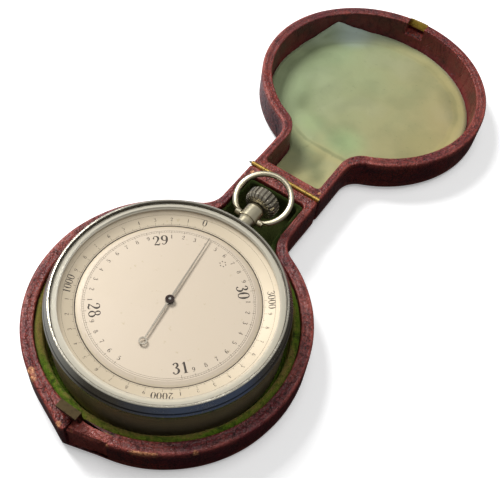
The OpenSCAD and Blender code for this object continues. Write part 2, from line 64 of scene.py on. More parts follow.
# Sizes that the frame gives
CASE_LOW, CASE_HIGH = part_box("base_leather")
ROUND = CASE_HIGH.x
END = CASE_HIGH.y
RIM = CASE_HIGH.z
LINING_LOW, LINING_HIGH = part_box("base_lining")
INNER_ROUND = LINING_HIGH.x + 0.05 * MM
INNER_END = LINING_HIGH.y + 0.05 * MM
FLOOR = LINING_LOW.z - 0.02 * MM
VELVET_TOP = LINING_HIGH.z
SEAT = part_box("case_body")[0].z - 0.05 * MM
PIN_LOW, PIN_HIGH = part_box("hinge_pin")
HINGE = (PIN_LOW + PIN_HIGH) / 2
LID_CENTRE = 2 * HINGE.y
BUTTON_LOW, BUTTON_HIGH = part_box("catch_button")
WOOD_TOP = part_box("base_core")[1].z
TONGUE_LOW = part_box("catch_tongue")[0]
STRIKER_LOW, STRIKER_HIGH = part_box("catch_striker")
BEZEL_LOW, BEZEL_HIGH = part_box("bezel")
DIAL_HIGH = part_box("dial")[1]

# Radii on the instrument, as they are in the part's source
BOSS = 1.45 * MM
DIAL_CIRCLE = 26.2 * MM
RING_FOOT = 27.4 * MM
RING_LINE = 28.9 * MM
RING_FIGURES = 30.1 * MM
RING_OUTER_LINE = 32.2 * MM
RING_TOP = 33.6 * MM
GLASS_BEVEL = 33.25 * MM
CROWN_FLUTES = 22

# Radius of the velvet's round wall beyond which its lower part is painted paler, painted light in the drum's
# shade, and of the mark pressed into the silk
WALL_FOOT = 38.2 * MM
PRESSED_RING = 37 * MM
# The silk's upper face over the lid's floor, and the folds' room under the bezel when the lid is closed
SILK_UP = 0.42 * MM
SILK_ROOM = 2 * HINGE.z - BEZEL_HIGH.z - FLOOR - SILK_UP - 0.12 * MM

Keyhole = namedtuple("Keyhole", "round neck end fillet corner")


def srgb(r, g, b):
    """A colour as it looks on screen, 0 to 255, in Blender's linear values."""
    def linear(c):
        c /= 255
        return c / 12.92 if c <= 0.04045 else ((c + 0.055) / 1.055) ** 2.4
    return (linear(r), linear(g), linear(b))


def colour(name, description, rgb):
    """A colour that a user may change."""
    return FloatVectorProperty(name=name, description=description, subtype="COLOR", size=3,
                               min=0, max=1, default=srgb(*rgb))


def length(name, description, millimetres):
    """A length that a user may change."""
    return FloatProperty(name=name, description=description, unit="LENGTH", precision=5,
                         default=millimetres * MM)


def share(name, description, value):
    """A share from 0 to 1 that a user may change."""
    return FloatProperty(name=name, description=description, subtype="FACTOR", min=0, max=1,
                         default=value)


class LeatherSettings(bpy.types.PropertyGroup):
    """The leather covers of the case"""
    neck_half: length("Neck half width", "Half the outer width of the keyhole's neck", 14.4)
    fillet: length("Fillet", "Radius between the round and the neck, outside", 9)
    corner: length("Corner", "Radius of the neck's outer corners", 1.5)
    inner_neck_half: length("Inner neck half width", "Half the neck's width inside the walls", 11.3)
    inner_fillet: length("Inner fillet", "Radius between the round and the neck, inside", 11)
    base_edge: length("Base edge", "Rounding of the base's bottom edge", 2.5)
    lid_edge: length("Lid edge", "Rounding of the lid's outer edge", 2.8)
    rim_edge: length("Rim edge", "Rounding of the rims' outer edge", 0.9)
    flap_gap: length("Flap gap", "From the inner wall to the thumb-piece's flap, room to press it", 1.05)
    lump: length("Lumps", "Unevenness of the leather over the wood", 0.16)
    # Partly dye, partly painted shade in the grain's hollows and the creases
    deep: colour("Deep maroon", "The dye in the creases, partly painted shade", (36, 10, 12))
    warm: colour("Warm maroon", "The dye on the grain", (126, 46, 36))
    plum: colour("Plum maroon", "Patches where the dye has turned", (98, 32, 37))
    # Partly real polish from handling, partly painted highlight on the rims and the thumb-piece's wrinkles
    handled_and_highlight: colour("Handled and highlit maroon", "The dye where hands have polished it, with painted highlights", (170, 84, 72))
    bare: colour("Bare hide", "Where the grain has rubbed through", (226, 164, 116))
    soiled: colour("Soiled hide", "Bare hide with dirt in it", (134, 70, 46))
    wear: share("Wear", "How far the edges are rubbed", 0.4)


class LiningSettings(bpy.types.PropertyGroup):
    """The velvet of the base and the silk of the lid"""
    bed_round: length("Bed radius", "Radius of the round bed inside the velvet's wall", 38.9)
    bed_neck: length("Bed neck half width", "Half the bed's width in the neck", 9.9)
    bed_fillet: length("Bed fillet", "Radius between the bed's round and its neck", 13)
    pile_dark: colour("Deep pile", "Velvet in its shade", (34, 44, 12))
    # Painted shade: a darker pile colour for the neck
    pile_neck_shade: colour("Neck pile", "Velvet in the neck, out of the light", (20, 34, 8))
    pile_green: colour("Green pile", "Velvet as dyed", (92, 120, 28))
    pile_olive: colour("Olive pile", "Faded velvet", (122, 120, 48))
    pile_rubbed: colour("Rubbed pile", "Velvet worn down to its ground", (128, 104, 60))
    # Painted light: a paler pile for the wall's lower part, where the drum's shade falls
    pile_painted_light: colour("Painted light on pile", "Velvet low on the wall, beside the drum", (176, 150, 84))
    pile_sheen: colour("Pile sheen", "Light along the velvet's pile", (170, 180, 96))
    silk_sage: colour("Sage silk", "Silk as it was dyed", (132, 145, 108))
    silk_tan: colour("Tan silk", "Silk gone brown with age", (148, 138, 96))
    silk_blue: colour("Blue silk", "Silk where the light hasn't reached", (166, 182, 176))
    silk_gold: colour("Golden silk", "Stains near the neck and the wall", (170, 158, 104))
    silk_green: colour("Green silk", "Silk that kept its dye", (140, 166, 116))
    # Partly real dirt, partly painted shade beside the folds and in the neck
    silk_soil_and_shade: colour("Soiled and shaded silk", "Dirt in the silk and along its marks", (91, 100, 69))
    fold_height: length("Folds", "Height of the silk's folds", 0.75)


class MetalSettings(bpy.types.PropertyGroup):
    """The metals, the glass and the wood"""
    nickel: colour("Nickel", "Polished nickel of the drum", (204, 202, 194))
    nickel_dull: colour("Dull nickel", "Dull patches on the drum", (150, 152, 152))
    # Painted reflection: brown with paler bands low on the drum, standing in for the lit velvet mirrored in
    # it
    drum_reflection_dark: colour("Drum reflection dark", "Painted reflection of the velvet, low on the drum", (116, 92, 64))
    drum_reflection_pale: colour("Drum reflection pale", "Paler bands in the drum's painted reflection", (206, 182, 138))
    bezel: colour("Bezel", "Warm nickel of the bezel", (196, 190, 174))
    bezel_dull: colour("Dull bezel", "Dull patches on the bezel", (168, 164, 152))
    seam: colour("Seam", "Dirt in the bezel's joints", (48, 44, 40))
    old_nickel: colour("Worn nickel", "Warmer nickel of pendant and bow", (182, 174, 150))
    old_nickel_dull: colour("Dull worn nickel", "Dull patches on pendant and bow", (168, 156, 126))
    crown: colour("Crown", "Nickel of the crown", (156, 150, 134))
    crown_dull: colour("Dull crown", "Dull patches on the crown", (122, 114, 96))
    # Painted shade: a dark colour for the crown's flutes
    flute_shade: colour("Painted flute shade", "Painted shade in the crown's flutes", (52, 44, 36))
    hand: colour("Hand", "Steel of the hand", (158, 150, 136))
    hand_dull: colour("Dull hand", "Dull patches on the hand", (122, 116, 106))
    boss: colour("Boss", "Bronzed boss of the hand", (46, 34, 30))
    silvered: colour("Silvering", "Matt silvering of the dial and the ring", (192, 178, 159))
    aged_silver: colour("Aged silvering", "Silvering gone warm", (184, 170, 144))
    spots: colour("Spots", "Tarnish in the silvering", (166, 150, 116))
    brass: colour("Brass", "Gilt brass of the hinge and the catch", (190, 156, 84))
    tarnish: colour("Tarnish", "Brown skin on old brass", (92, 74, 40))
    tongue: colour("Tongue", "Brass of the catch's tongue, nearly brown", (50, 42, 28))
    tongue_dark: colour("Dark tongue", "Darker patches on the tongue", (32, 26, 18))
    clean_brass: colour("Clean brass", "Brass inside the drum", (204, 170, 98))
    steel: colour("Steel", "Bare steel", (150, 148, 142))
    steel_dull: colour("Dull steel", "Dull patches on bare steel", (104, 98, 88))
    blued: colour("Blued steel", "Steel blued by heat", (40, 44, 62))
    blued_dark: colour("Dark blued steel", "Darker patches on blued steel", (30, 26, 30))
    alloy: colour("Capsule", "Alloy of the capsule", (186, 184, 172))
    alloy_dull: colour("Dull capsule", "Dull patches on the capsule", (150, 140, 110))
    glass_tint: colour("Glass edge", "Colour of the glass in its bevel", (214, 208, 190))
    wood: colour("Wood", "Beech of the trays", (150, 108, 66))
    wood_dark: colour("Dark wood", "The wood's grain and pores", (92, 60, 34))


class FigureSettings(bpy.types.PropertyGroup):
    """The engraved and waxed figures"""
    wax: colour("Wax", "Black wax in the engraving", (58, 52, 47))
    grime: colour("Grime", "Dust on the wax", (96, 84, 68))
    inch_height: length("Inch figures", "Height of the figures for whole inches", 3.6)
    tenth_height: length("Tenth figures", "Height of the figures for tenths", 1.4)
    thousand_height: length("Thousand figures", "Height of the figures for a thousand feet", 2.3)
    hundred_height: length("Hundred figures", "Height of the figures for a hundred feet", 1.2)
    line: length("Line", "Width of the engraved lines", 0.08)
    star_x: length("Star across", "Place of the ring of dots on the dial, from its centre", 5.1)
    star_y: length("Star up", "Place of the ring of dots on the dial, from its centre", 20.7)
    tenths_split: IntProperty(name="Marks to a tenth", description="Marks between two tenths of an inch",
                              default=5, min=1, max=10)


class StudioSettings(bpy.types.PropertyGroup):
    """Floor, lamps and camera"""
    floor: colour("Floor", "Colour of the pale floor", (246, 246, 246))
    floor_marks: colour("Floor marks", "Faint clouds in the floor", (236, 236, 236))
    under: colour("Dark floor", "The floor as soft light finds it, so that shade stays deep", (34, 32, 32))
    room: colour("Room", "What metals show of the room", (52, 50, 48))
    room_blue: colour("Blue room", "What metals show of the room at the right", (58, 70, 98))
    window: colour("Window", "What metals show of the room at the left", (206, 212, 220))
    key: FloatProperty(name="Key", description="Power of the soft lamp at the left", default=8.2, min=0,
                       unit="POWER")
    top: FloatProperty(name="Top", description="Power of the soft lamp overhead", default=3.0, min=0,
                       unit="POWER")
    sky: FloatProperty(name="Sky", description="Strength of the light from all round", default=0.24, min=0)
    mirrored_sky: FloatProperty(name="Mirrored sky", description="Strength of the sky that metals show",
                                default=0.55, min=0)
    lens: FloatProperty(name="Lens", description="Focal length on a 36 mm sensor", default=56.1517,
                        min=1, unit="CAMERA")


# Materials: a wrapped socket takes Python's own signs

class Value:
    """A number in a material. Signs between values add Math nodes."""

    def __init__(self, finish, socket):
        self.finish = finish
        self.socket = socket

    def math(self, operation, *others, clamp=False):
        """A Math node of this value and others."""
        return self.finish.node("ShaderNodeMath", {"operation": operation, "use_clamp": clamp},
                                dict(enumerate((self, *others))))

    def __add__(self, other):
        return self.math("ADD", other)

    def __mul__(self, other):
        return self.math("MULTIPLY", other)

    def __sub__(self, other):
        return self.math("SUBTRACT", other)

    def __truediv__(self, other):
        return self.math("DIVIDE", other)

    def __rsub__(self, other):
        return (self * -1).math("ADD", other)

    __radd__ = __add__
    __rmul__ = __mul__

    def held(self):
        """Kept from 0 to 1."""
        return self.math("ADD", 0, clamp=True)

    def above(self, low, high):
        """0 below low, 1 above high, and a soft step between them."""
        return self.finish.node("ShaderNodeMapRange", {"interpolation_type": "SMOOTHSTEP"},
                                {"Value": self, "From Min": low, "From Max": high})

    def below(self, low, high):
        return 1 - self.above(low, high)


class Finish:
    """One material, with its shader ready in self.shader."""

    def __init__(self, name, **sockets):
        self.material = bpy.data.materials.new(name)
        self.material.use_nodes = True
        self.tree = self.material.node_tree
        self.tree.nodes.clear()
        self.out = self.tree.nodes.new("ShaderNodeOutputMaterial")
        self.shader = self.tree.nodes.new("ShaderNodeBsdfPrincipled")
        self.tree.links.new(self.shader.outputs[0], self.out.inputs["Surface"])
        self.place = self.node("ShaderNodeTexCoord", output="Object")
        self.set(**sockets)

    def feed(self, socket, value):
        if isinstance(value, Value):
            self.tree.links.new(value.socket, socket)
        elif hasattr(value, "__len__") and socket.type == "RGBA" and len(value) == 3:
            socket.default_value = (*value, 1)
        else:
            socket.default_value = value

    def node(self, kind, settings=None, sockets=None, output=0):
        """A node of any type: its settings first, then the values or links of its sockets."""
        made = self.tree.nodes.new(kind)
        for name, value in (settings or {}).items():
            setattr(made, name, value)
        for name, value in (sockets or {}).items():
            self.feed(made.inputs[name], value)
        return Value(self, made.outputs[output])

    def set(self, **sockets):
        """Sets the shader's sockets, named with _ for a blank."""
        for name, value in sockets.items():
            self.feed(self.shader.inputs[name.replace("_", " ").title().replace("Ior", "IOR")], value)

    def noise(self, size, detail=2, rough=0.5, stretch=(1, 1, 1), warp=0.0):
        """Cloudy noise from about 0.3 to 0.7, whose features are about size metres across."""
        where = self.node("ShaderNodeMapping", None, {"Vector": self.place, "Scale": stretch})
        return self.node("ShaderNodeTexNoise", None, {"Vector": where, "Scale": 1 / size, "Detail": detail,
                                                      "Roughness": rough, "Distortion": warp})

    def bands(self, along, width):
        """Noise in bands of about a width, along a value in metres."""
        return self.node("ShaderNodeTexNoise", {"noise_dimensions": "1D"}, {"W": along / width, "Detail": 2})

    def waves(self, direction, **sockets):
        """A Wave texture whose bands run across X or Y."""
        sockets["Vector"] = self.place
        return self.node("ShaderNodeTexWave", {"bands_direction": direction}, sockets)

    def cells(self, size):
        """Pebbles about size metres across: 0 in their middles."""
        return self.node("ShaderNodeTexVoronoi", None, {"Vector": self.place, "Scale": 1 / size})

    def attribute(self, name):
        """A number that the mesh holds at its vertices."""
        return self.node("ShaderNodeAttribute", {"attribute_name": name}, output="Fac")

    def axis(self, which):
        """The place along X, Y or Z, in metres."""
        return self.node("ShaderNodeSeparateXYZ", None, {0: self.place}, which)

    def from_axis(self, x=0.0, y=0.0):
        """Distance from an upright line, in metres."""
        dx = self.axis(0) - x
        dy = self.axis(1) - y
        return (dx * dx + dy * dy).math("SQRT")

    def mix(self, share_of_b, a, b):
        """A colour between a and b."""
        return self.node("ShaderNodeMix", {"data_type": "RGBA"}, {0: share_of_b, 6: a, 7: b}, 2)

    def bump(self, height, depth, strength=1.0):
        """Height from 0 to 1 over a depth in metres."""
        normal = self.node("ShaderNodeBump", None, {"Height": height, "Distance": depth,
                                                    "Strength": strength})
        self.feed(self.shader.inputs["Normal"], normal)


# Where the rims' grain has rubbed through: places from above and radius, in millimetres
SCUFFS = [(-20.6, -39.6, 1.3), (-18.6, -40.9, 1.2), (11.6, -44.3, 0.6), (32.8, -31.0, 0.7),
          (-3.2, -47.0, 0.8), (-28.5, 96.6, 1.0), (-21.0, 92.6, 0.8), (12.6, 70.3, 0.6), (-12.0, 64.0, 0.6)]
# The long scuff on the base's outer edge: from and to, in degrees from -Y towards +X
LONG_SCUFF = (22.5, 34)


def morocco(s):
    """Maroon goatskin: pebbled grain, creases, patchy dye and rubbed edges, smooth inside the walls; painted
    highlights on polished edges and wrinkles, and dark hollows and creases that are partly painted shade.
    """
    f = Finish("maroon_morocco", specular_ior_level=0.32, coat_weight=0.04, coat_roughness=0.3)
    pebble = f.cells(0.8 * MM)
    fine = f.cells(0.33 * MM)
    drift = f.noise(8 * MM, 4, 0.6)
    patch = f.noise(26 * MM, 3, 0.55)
    fleck = f.noise(0.9 * MM, 3, 0.7)
    crease = f.noise(5 * MM, 3, 0.6, stretch=(1, 1, 0.35), warp=0.8)
    crease = (crease - 0.5).math("ABSOLUTE").below(0.0, 0.022)
    worn = f.attribute("worn")
    skiver = (worn * -1).above(0.1, 0.5)
    grain = (pebble * 0.7 + fine * 0.3).held() * (1 - skiver * 0.75)
    dye = f.mix(patch.above(0.4, 0.62), s.warm, s.plum)
    # Polish from handling and partly a painted highlight: lighter where the rims and the thumb-piece's ridges
    # are marked worn
    polish = (worn * 0.8 + (drift - 0.4)).above(0.1, 0.5)
    # Grain hollows and creases painted dark: partly dye, partly painted shade
    valley_dye_and_shade = grain.above(0.2, 0.62) * (0.75 - polish * 0.4)
    dye = f.mix((valley_dye_and_shade + (drift - 0.5) * 2.2 + crease * 0.4).held(), dye, s.deep)
    scuffs = 0
    for x, y, radius in SCUFFS:
        ragged = f.from_axis(x * MM, y * MM) + (fleck - 0.5) * 1.2 * MM
        scuffs = ragged.below(radius * 0.5 * MM, (radius + 0.25) * MM).math("MAXIMUM", scuffs)
    start, end = (math.radians(angle) for angle in LONG_SCUFF)
    around = f.axis(0).math("ARCTAN2", f.axis(1) * -1)
    edge = f.from_axis() - ROUND + 0.35 * MM + (drift - 0.5) * 0.8 * MM
    edge = edge.math("ABSOLUTE").below(0.15 * MM, 0.5 * MM)
    edge = edge * around.above(start, start + 0.03) * around.below(end - 0.04, end)
    scuffs = scuffs.math("MAXIMUM", edge * fleck.above(0.3, 0.46))
    scuffs = scuffs * f.axis(2).above(RIM - 2.2 * MM, RIM - 1.6 * MM)
    rubbed = (worn * (0.35 + s.wear) + (fleck - 0.5) * 1.3 + (drift - 0.5) * 0.5).above(0.62, 0.86)
    rubbed = rubbed.math("MAXIMUM", scuffs)
    hide = f.mix(fleck.above(0.35, 0.65), s.bare, s.soiled)
    dye = f.mix(polish * (1 - valley_dye_and_shade * 0.6) * 0.65, dye, s.handled_and_highlight)
    dye = f.mix(skiver * 0.75, dye, f.mix(drift.above(0.3, 0.8), s.plum, s.deep))
    f.set(base_color=f.mix(rubbed, dye, hide))
    f.set(roughness=(0.42 + (fleck - 0.5) * 0.6 - polish * 0.1 + rubbed * 0.15 + crease * 0.1).held())
    f.bump(1 - grain + fleck * 0.6 - crease * 0.7, 0.3 * MM, 1.0)
    return f.material


def old_velvet(s):
    """Green pile, crushed and faded in patches, rubbed along its edges, with painted light low on the wall
    beside the drum and painted shade in the neck.
    """
    f = Finish("aged_velvet", roughness=0.95, specular_ior_level=0.1, sheen_weight=0.3,
               sheen_roughness=0.45, sheen_tint=s.pile_sheen)
    pile = f.noise(0.35 * MM, 3, 0.7)
    crush = f.noise(3.2 * MM, 4, 0.65, warp=0.6)
    fade = f.noise(17 * MM, 3, 0.55)
    worn = f.attribute("worn")
    base = f.mix(crush.above(0.3, 0.52), s.pile_dark, s.pile_green)
    base = f.mix((fade.above(0.44, 0.62) * 0.75).held(), base, s.pile_olive)
    tuft = f.noise(1.1 * MM, 4, 0.75)
    edge = (worn + (crush - 0.5) * 1.6 + (tuft - 0.5) * 1.6 + (fade - 0.5) * 1.2).above(0.42, 0.95)
    base = f.mix(edge * 0.85, base, s.pile_rubbed)
    base = f.mix(tuft.below(0.36, 0.5) * 0.6, base, s.pile_dark)
    left = (f.axis(0) * -1).above(18 * MM, 36 * MM)
    base = f.mix(left * 0.55, base, s.pile_rubbed)
    # Painted light: the wall's lower part beside the drum is painted paler against its shade
    wall = f.from_axis().above(WALL_FOOT, WALL_FOOT + 0.6 * MM) * f.axis(2).below(SEAT, VELVET_TOP - 1.2 * MM)
    base = f.mix(wall * 0.8, base, s.pile_painted_light)
    # Painted shade: the velvet in the neck is painted darker
    base = f.mix(f.axis(1).above(28 * MM, 38 * MM) * 0.96, base, s.pile_neck_shade)
    f.set(base_color=f.mix(pile.above(0.35, 0.62) * 0.5, base, s.pile_dark))
    f.bump(pile * 0.6 + tuft + crush * 0.6, 0.45 * MM, 1.0)
    return f.material


def old_silk(s):
    """Thin sage silk, browned, with soft stains, the instrument's mark, a fine weave, and painted shade
    beside its folds and in the neck.
    """
    f = Finish("aged_silk", specular_ior_level=0.3, sheen_weight=0.2, sheen_roughness=0.4)
    age = f.noise(34 * MM, 3, 0.5)
    stain = f.noise(16 * MM, 3, 0.5)
    speck = f.noise(1.4 * MM, 3, 0.6)
    right = ((f.axis(0) + 28 * MM) / (58 * MM)).held()
    near = ((118 * MM - f.axis(1)) / (40 * MM)).held()
    far_left = ((f.axis(1) - f.axis(0) - 178 * MM) / (30 * MM)).held()
    base = f.mix((right + (age - 0.5) * 0.8).held(), s.silk_sage, s.silk_tan)
    base = f.mix((far_left * 0.8 + (age - 0.5) * 0.6).held(), base, s.silk_blue)
    gold = near * 0.7 + (stain - 0.5) * 1.2 + (age - 0.5)
    base = f.mix(gold.above(0.2, 0.9) * 0.45, base, s.silk_gold)
    out = f.from_axis(0, LID_CENTRE)
    wander = out + (stain - 0.5) * 5 * MM
    pressed = (wander - (PRESSED_RING - 1 * MM)).math("ABSOLUTE").below(0.2 * MM, 1.3 * MM)
    band = wander.above(34 * MM, 36 * MM) * wander.below(38 * MM, 40.5 * MM) * right

    def patch(x, y, radius):
        """A soft round spot, in millimetres from the lid's centre."""
        return f.from_axis(x * MM, LID_CENTRE + y * MM).below(radius * 0.1 * MM, radius * MM)

    mouth = f.axis(1).below(LID_CENTRE - 34 * MM, LID_CENTRE - 30 * MM)
    base = f.mix(patch(4, -27, 12) * 0.6 + patch(-12, -26, 9) * 0.25, base, s.silk_green)
    base = f.mix((band * 0.5 + patch(30, -8, 14) * 0.3).held(), base, s.silk_gold)
    base = f.mix(patch(-27, 32, 13) * 0.7, base, s.silk_blue)
    soil_and_shade = stain.below(0.36, 0.6) * 0.2 + near * stain.below(0.4, 0.64) * 0.12 + speck.above(0.6, 0.75) * 0.2
    # Painted shade: the spot at (-11, -45) here and the one at (-16, -38) on the next line darken the neck's
    # left side
    soil_and_shade = soil_and_shade + pressed * (mouth * 0.3 + 0.14) + patch(-11, -45, 13) * 0.45 + patch(-37, 12, 6) * 0.3
    # Painted shade: the fold attribute darkens one side of each fold
    soil_and_shade = soil_and_shade + patch(-16, -38, 8) * 0.35 + f.attribute("fold") * -0.28
    f.set(base_color=f.mix(soil_and_shade.held(), base, s.silk_soil_and_shade))
    f.set(roughness=(0.55 + (stain - 0.5) * 0.3).held())
    weft = f.waves("X", Scale=1400, Distortion=1.5)
    f.bump(weft * 0.4 + speck, 0.05 * MM, 0.5)
    return f.material


# Metals: the settings' names of tint and tarnish, roughness, size of the patches in millimetres,
# how strong they are, and how scratched the metal is
METALS = {
    "bezel_nickel": ("bezel", "bezel_dull", 0.17, 9, 0.4, 0.04),
    "worn_nickel": ("old_nickel", "old_nickel_dull", 0.3, 4, 0.3, 0.02),
    "gilt_brass": ("brass", "tarnish", 0.3, 2.5, 0.75, 0.1),
    "dull_brass": ("tongue", "tongue_dark", 0.38, 1.6, 0.8, 0.1),
    "movement_brass": ("clean_brass", "brass", 0.28, 5, 0.4, 0.08),
    "bare_steel": ("steel", "steel_dull", 0.3, 3, 0.5, 0.08),
    "blued_steel": ("blued", "blued_dark", 0.28, 3, 0.5, 0.05),
    "capsule_alloy": ("alloy", "alloy_dull", 0.3, 6, 0.4, 0.08),
}


def metal(s, name, seams=()):
    """A metal with patches of tarnish, faint scratches, and dark joints at some radii."""
    tint, tarnish, rough, patch_size, patch, scratch = METALS[name]
    f = Finish(name, metallic=1.0)
    smear = f.noise(patch_size * MM, 4, 0.6)
    line = f.noise(0.5 * MM, 3, 0.7)
    dust = f.noise(0.25 * MM, 2, 0.6)
    spread = (smear + (line - 0.5) * 0.4).above(0.46, 0.7) * patch
    base = f.mix(spread, getattr(s, tint), getattr(s, tarnish))
    for radius in seams:
        joint = (f.from_axis() - radius).math("ABSOLUTE").below(0.06 * MM, 0.16 * MM)
        base = f.mix(joint * 0.85, base, s.seam)
    f.set(base_color=base)
    f.set(roughness=(rough + spread * 0.25 + (line - 0.5) * scratch * 4 + (dust - 0.5) * scratch).held())
    f.bump(line + dust * 0.5, 0.01 * MM, 0.25)
    return f.material


def drum_nickel(s):
    """Nickel of the drum, with a painted reflection of the lit velvet low down, beside the velvet: brown with
    paler bands.
    """
    f = Finish("drum_nickel")
    smear = f.noise(11 * MM, 4, 0.6)
    line = f.noise(0.5 * MM, 3, 0.7)
    # Painted reflection of the velvet wall, low on the drum, in bands; less metallic and rougher there
    reflected_velvet_band = f.axis(2).below(BEZEL_LOW.z - 2.6 * MM, BEZEL_LOW.z - 0.4 * MM)
    reflected_stripe = f.bands(f.axis(2), 0.7 * MM)
    base = f.mix(smear.above(0.46, 0.7) * 0.4, s.nickel, s.nickel_dull)
    brown = f.mix(reflected_stripe.above(0.42, 0.56), s.drum_reflection_dark, s.drum_reflection_pale)
    f.set(base_color=f.mix(reflected_velvet_band * 0.7, base, brown))
    f.set(metallic=(1 - reflected_velvet_band * 0.35).held())
    f.set(roughness=(0.14 + reflected_velvet_band * 0.2 + (line - 0.5) * 0.16).held())
    f.bump(line, 0.01 * MM, 0.25)
    return f.material


def fluted(s):
    """Nickel of the crown, with painted shade dark in its flutes."""
    crown = NODES["crown"]
    low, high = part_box("crown")
    axis = crown.matrix_world.inverted() @ ((low + high) / 2)
    f = Finish("fluted_nickel", metallic=0.9)
    x = f.axis(0) - axis.x
    z = f.axis(2) - axis.z
    wave = (z.math("ARCTAN2", x) * CROWN_FLUTES).math("COSINE")
    side = (x * x + z * z).math("SQRT").above(high.x * 0.62, high.x * 0.86)
    groove = wave.above(-0.1, 0.75) * side
    rub = f.noise(1.2 * MM, 3, 0.6)
    pale = f.mix(rub.above(0.4, 0.65) * 0.5, s.crown, s.crown_dull)
    # Painted shade: the flutes are painted dark
    f.set(base_color=f.mix(groove * 0.85, pale, s.flute_shade))
    f.set(roughness=(0.26 + groove * 0.3 + (rub - 0.5) * 0.3).held())
    f.bump(1 - groove, 0.3 * MM, 0.8)
    return f.material


def hand_steel(s):
    """Pale polished steel, with the boss bronzed nearly black."""
    f = Finish("hand_steel", metallic=0.85)
    boss = f.from_axis().below(BOSS, BOSS + 0.05 * MM)
    rub = f.noise(0.7 * MM, 3, 0.6)
    pale = f.mix(rub.above(0.4, 0.65) * 0.5, s.hand, s.hand_dull)
    f.set(base_color=f.mix(boss, pale, s.boss), roughness=(0.3 + (rub - 0.5) * 0.3).held())
    return f.material


def silvering(s):
    """Frosted silver plate: a fine circular grain, warm with age, with a few spots."""
    f = Finish("silvered_plate", metallic=0.12, specular_ior_level=0.25)
    age = f.noise(22 * MM, 3, 0.5)
    spot = f.noise(2.2 * MM, 3, 0.6)
    ringed = f.bands(f.from_axis(), 0.12 * MM)
    base = f.mix((age - 0.35).held() * 0.5, s.silvered, s.aged_silver)
    on_ring = f.from_axis().above(RING_FOOT, RING_FOOT + 0.4 * MM)
    base = f.mix(on_ring * 0.7, base, s.aged_silver)
    base = f.mix(spot.above(0.66, 0.74) * 0.45, base, s.spots)
    f.set(base_color=base, roughness=(0.46 + (ringed - 0.5) * 0.12 + (age - 0.5) * 0.15).held())
    f.bump(ringed, 0.008 * MM, 0.3)
    return f.material


def crystal(s):
    """Clear glass that mirrors by its angle, pale and milky in the bevel."""
    f = Finish("bevelled_glass")
    bevel = f.from_axis().above(GLASS_BEVEL, GLASS_BEVEL + 0.2 * MM)
    smear = f.noise(14 * MM, 3, 0.5)
    clear = f.node("ShaderNodeBsdfTransparent", None, {"Color": (1, 1, 1, 1)})
    outside = 1 - f.node("ShaderNodeNewGeometry", output="Backfacing")
    facing = f.node("ShaderNodeFresnel", None, {"IOR": 1.45}) * outside
    f.set(base_color=f.mix(bevel, (1, 1, 1), s.glass_tint), metallic=1 - bevel, roughness=0.03 + bevel * 0.25)
    mirrored = (facing * (0.7 + smear * 0.3) + bevel * 0.5).held()
    shown = f.node("ShaderNodeMixShader", None, {0: mirrored, 1: clear, 2: Value(f, f.shader.outputs[0])})
    f.feed(f.out.inputs["Surface"], shown)
    return f.material


def bare_wood(s):
    """Plain beech of the trays, with its grain and pores."""
    f = Finish("bare_wood", roughness=0.75)
    rings = f.waves("Y", Scale=320, Distortion=4, Detail=3)
    pore = f.noise(0.8 * MM, 3, 0.7, stretch=(0.15, 1, 1))
    f.set(base_color=f.mix((rings * 0.5 + pore * 0.6).held(), s.wood, s.wood_dark))
    f.bump(rings + pore, 0.05 * MM, 0.5)
    return f.material


def waxed(s):
    """Black wax with dust on it."""
    f = Finish("black_wax", specular_ior_level=0.3)
    grime = f.noise(0.6 * MM, 3, 0.6)
    f.set(base_color=f.mix(grime.above(0.4, 0.7) * 0.5, s.wax, s.grime), roughness=0.45 + grime * 0.3)
    f.bump(grime, 0.01 * MM, 0.3)
    return f.material


# Shapes

def outer_keyhole(inset=0.0):
    """The case's outline from above, drawn in by an inset."""
    s = bpy.context.scene.case_leather
    return Keyhole(ROUND - inset, s.neck_half - inset, END - inset, s.fillet + inset,
                   max(s.corner - inset, 0.3 * MM))


def inner_keyhole(inset=0.0):
    """The outline inside the leather's walls, drawn in by an inset."""
    s = bpy.context.scene.case_leather
    return Keyhole(INNER_ROUND - inset, s.inner_neck_half - inset, INNER_END - inset,
                   s.inner_fillet + inset, max(s.corner - inset, 0.3 * MM))


def between(a, b, t):
    """A keyhole on the way from one to another."""
    return Keyhole(*(p + (q - p) * t for p, q in zip(a, b)))


def turn(bm, vert, centre, degrees, steps):
    """Spins a vertex about an upright line and gives the arc's last vertex."""
    made = bmesh.ops.spin(bm, geom=[vert], cent=(centre[0], centre[1], 0), axis=(0, 0, 1),
                          angle=math.radians(degrees), steps=steps, use_duplicate=False)
    return next(g for g in made["geom_last"] if isinstance(g, bmesh.types.BMVert))


def draw_to(bm, vert, end, steps):
    """Extrudes a vertex in a straight row of steps and gives the last."""
    start = vert.co.copy()
    for i in range(steps):
        vert = bmesh.ops.extrude_vert_indiv(bm, verts=[vert])["verts"][0]
        vert.co = start.lerp(Vector((end[0], end[1], start.z)), (i + 1) / steps)
    return vert


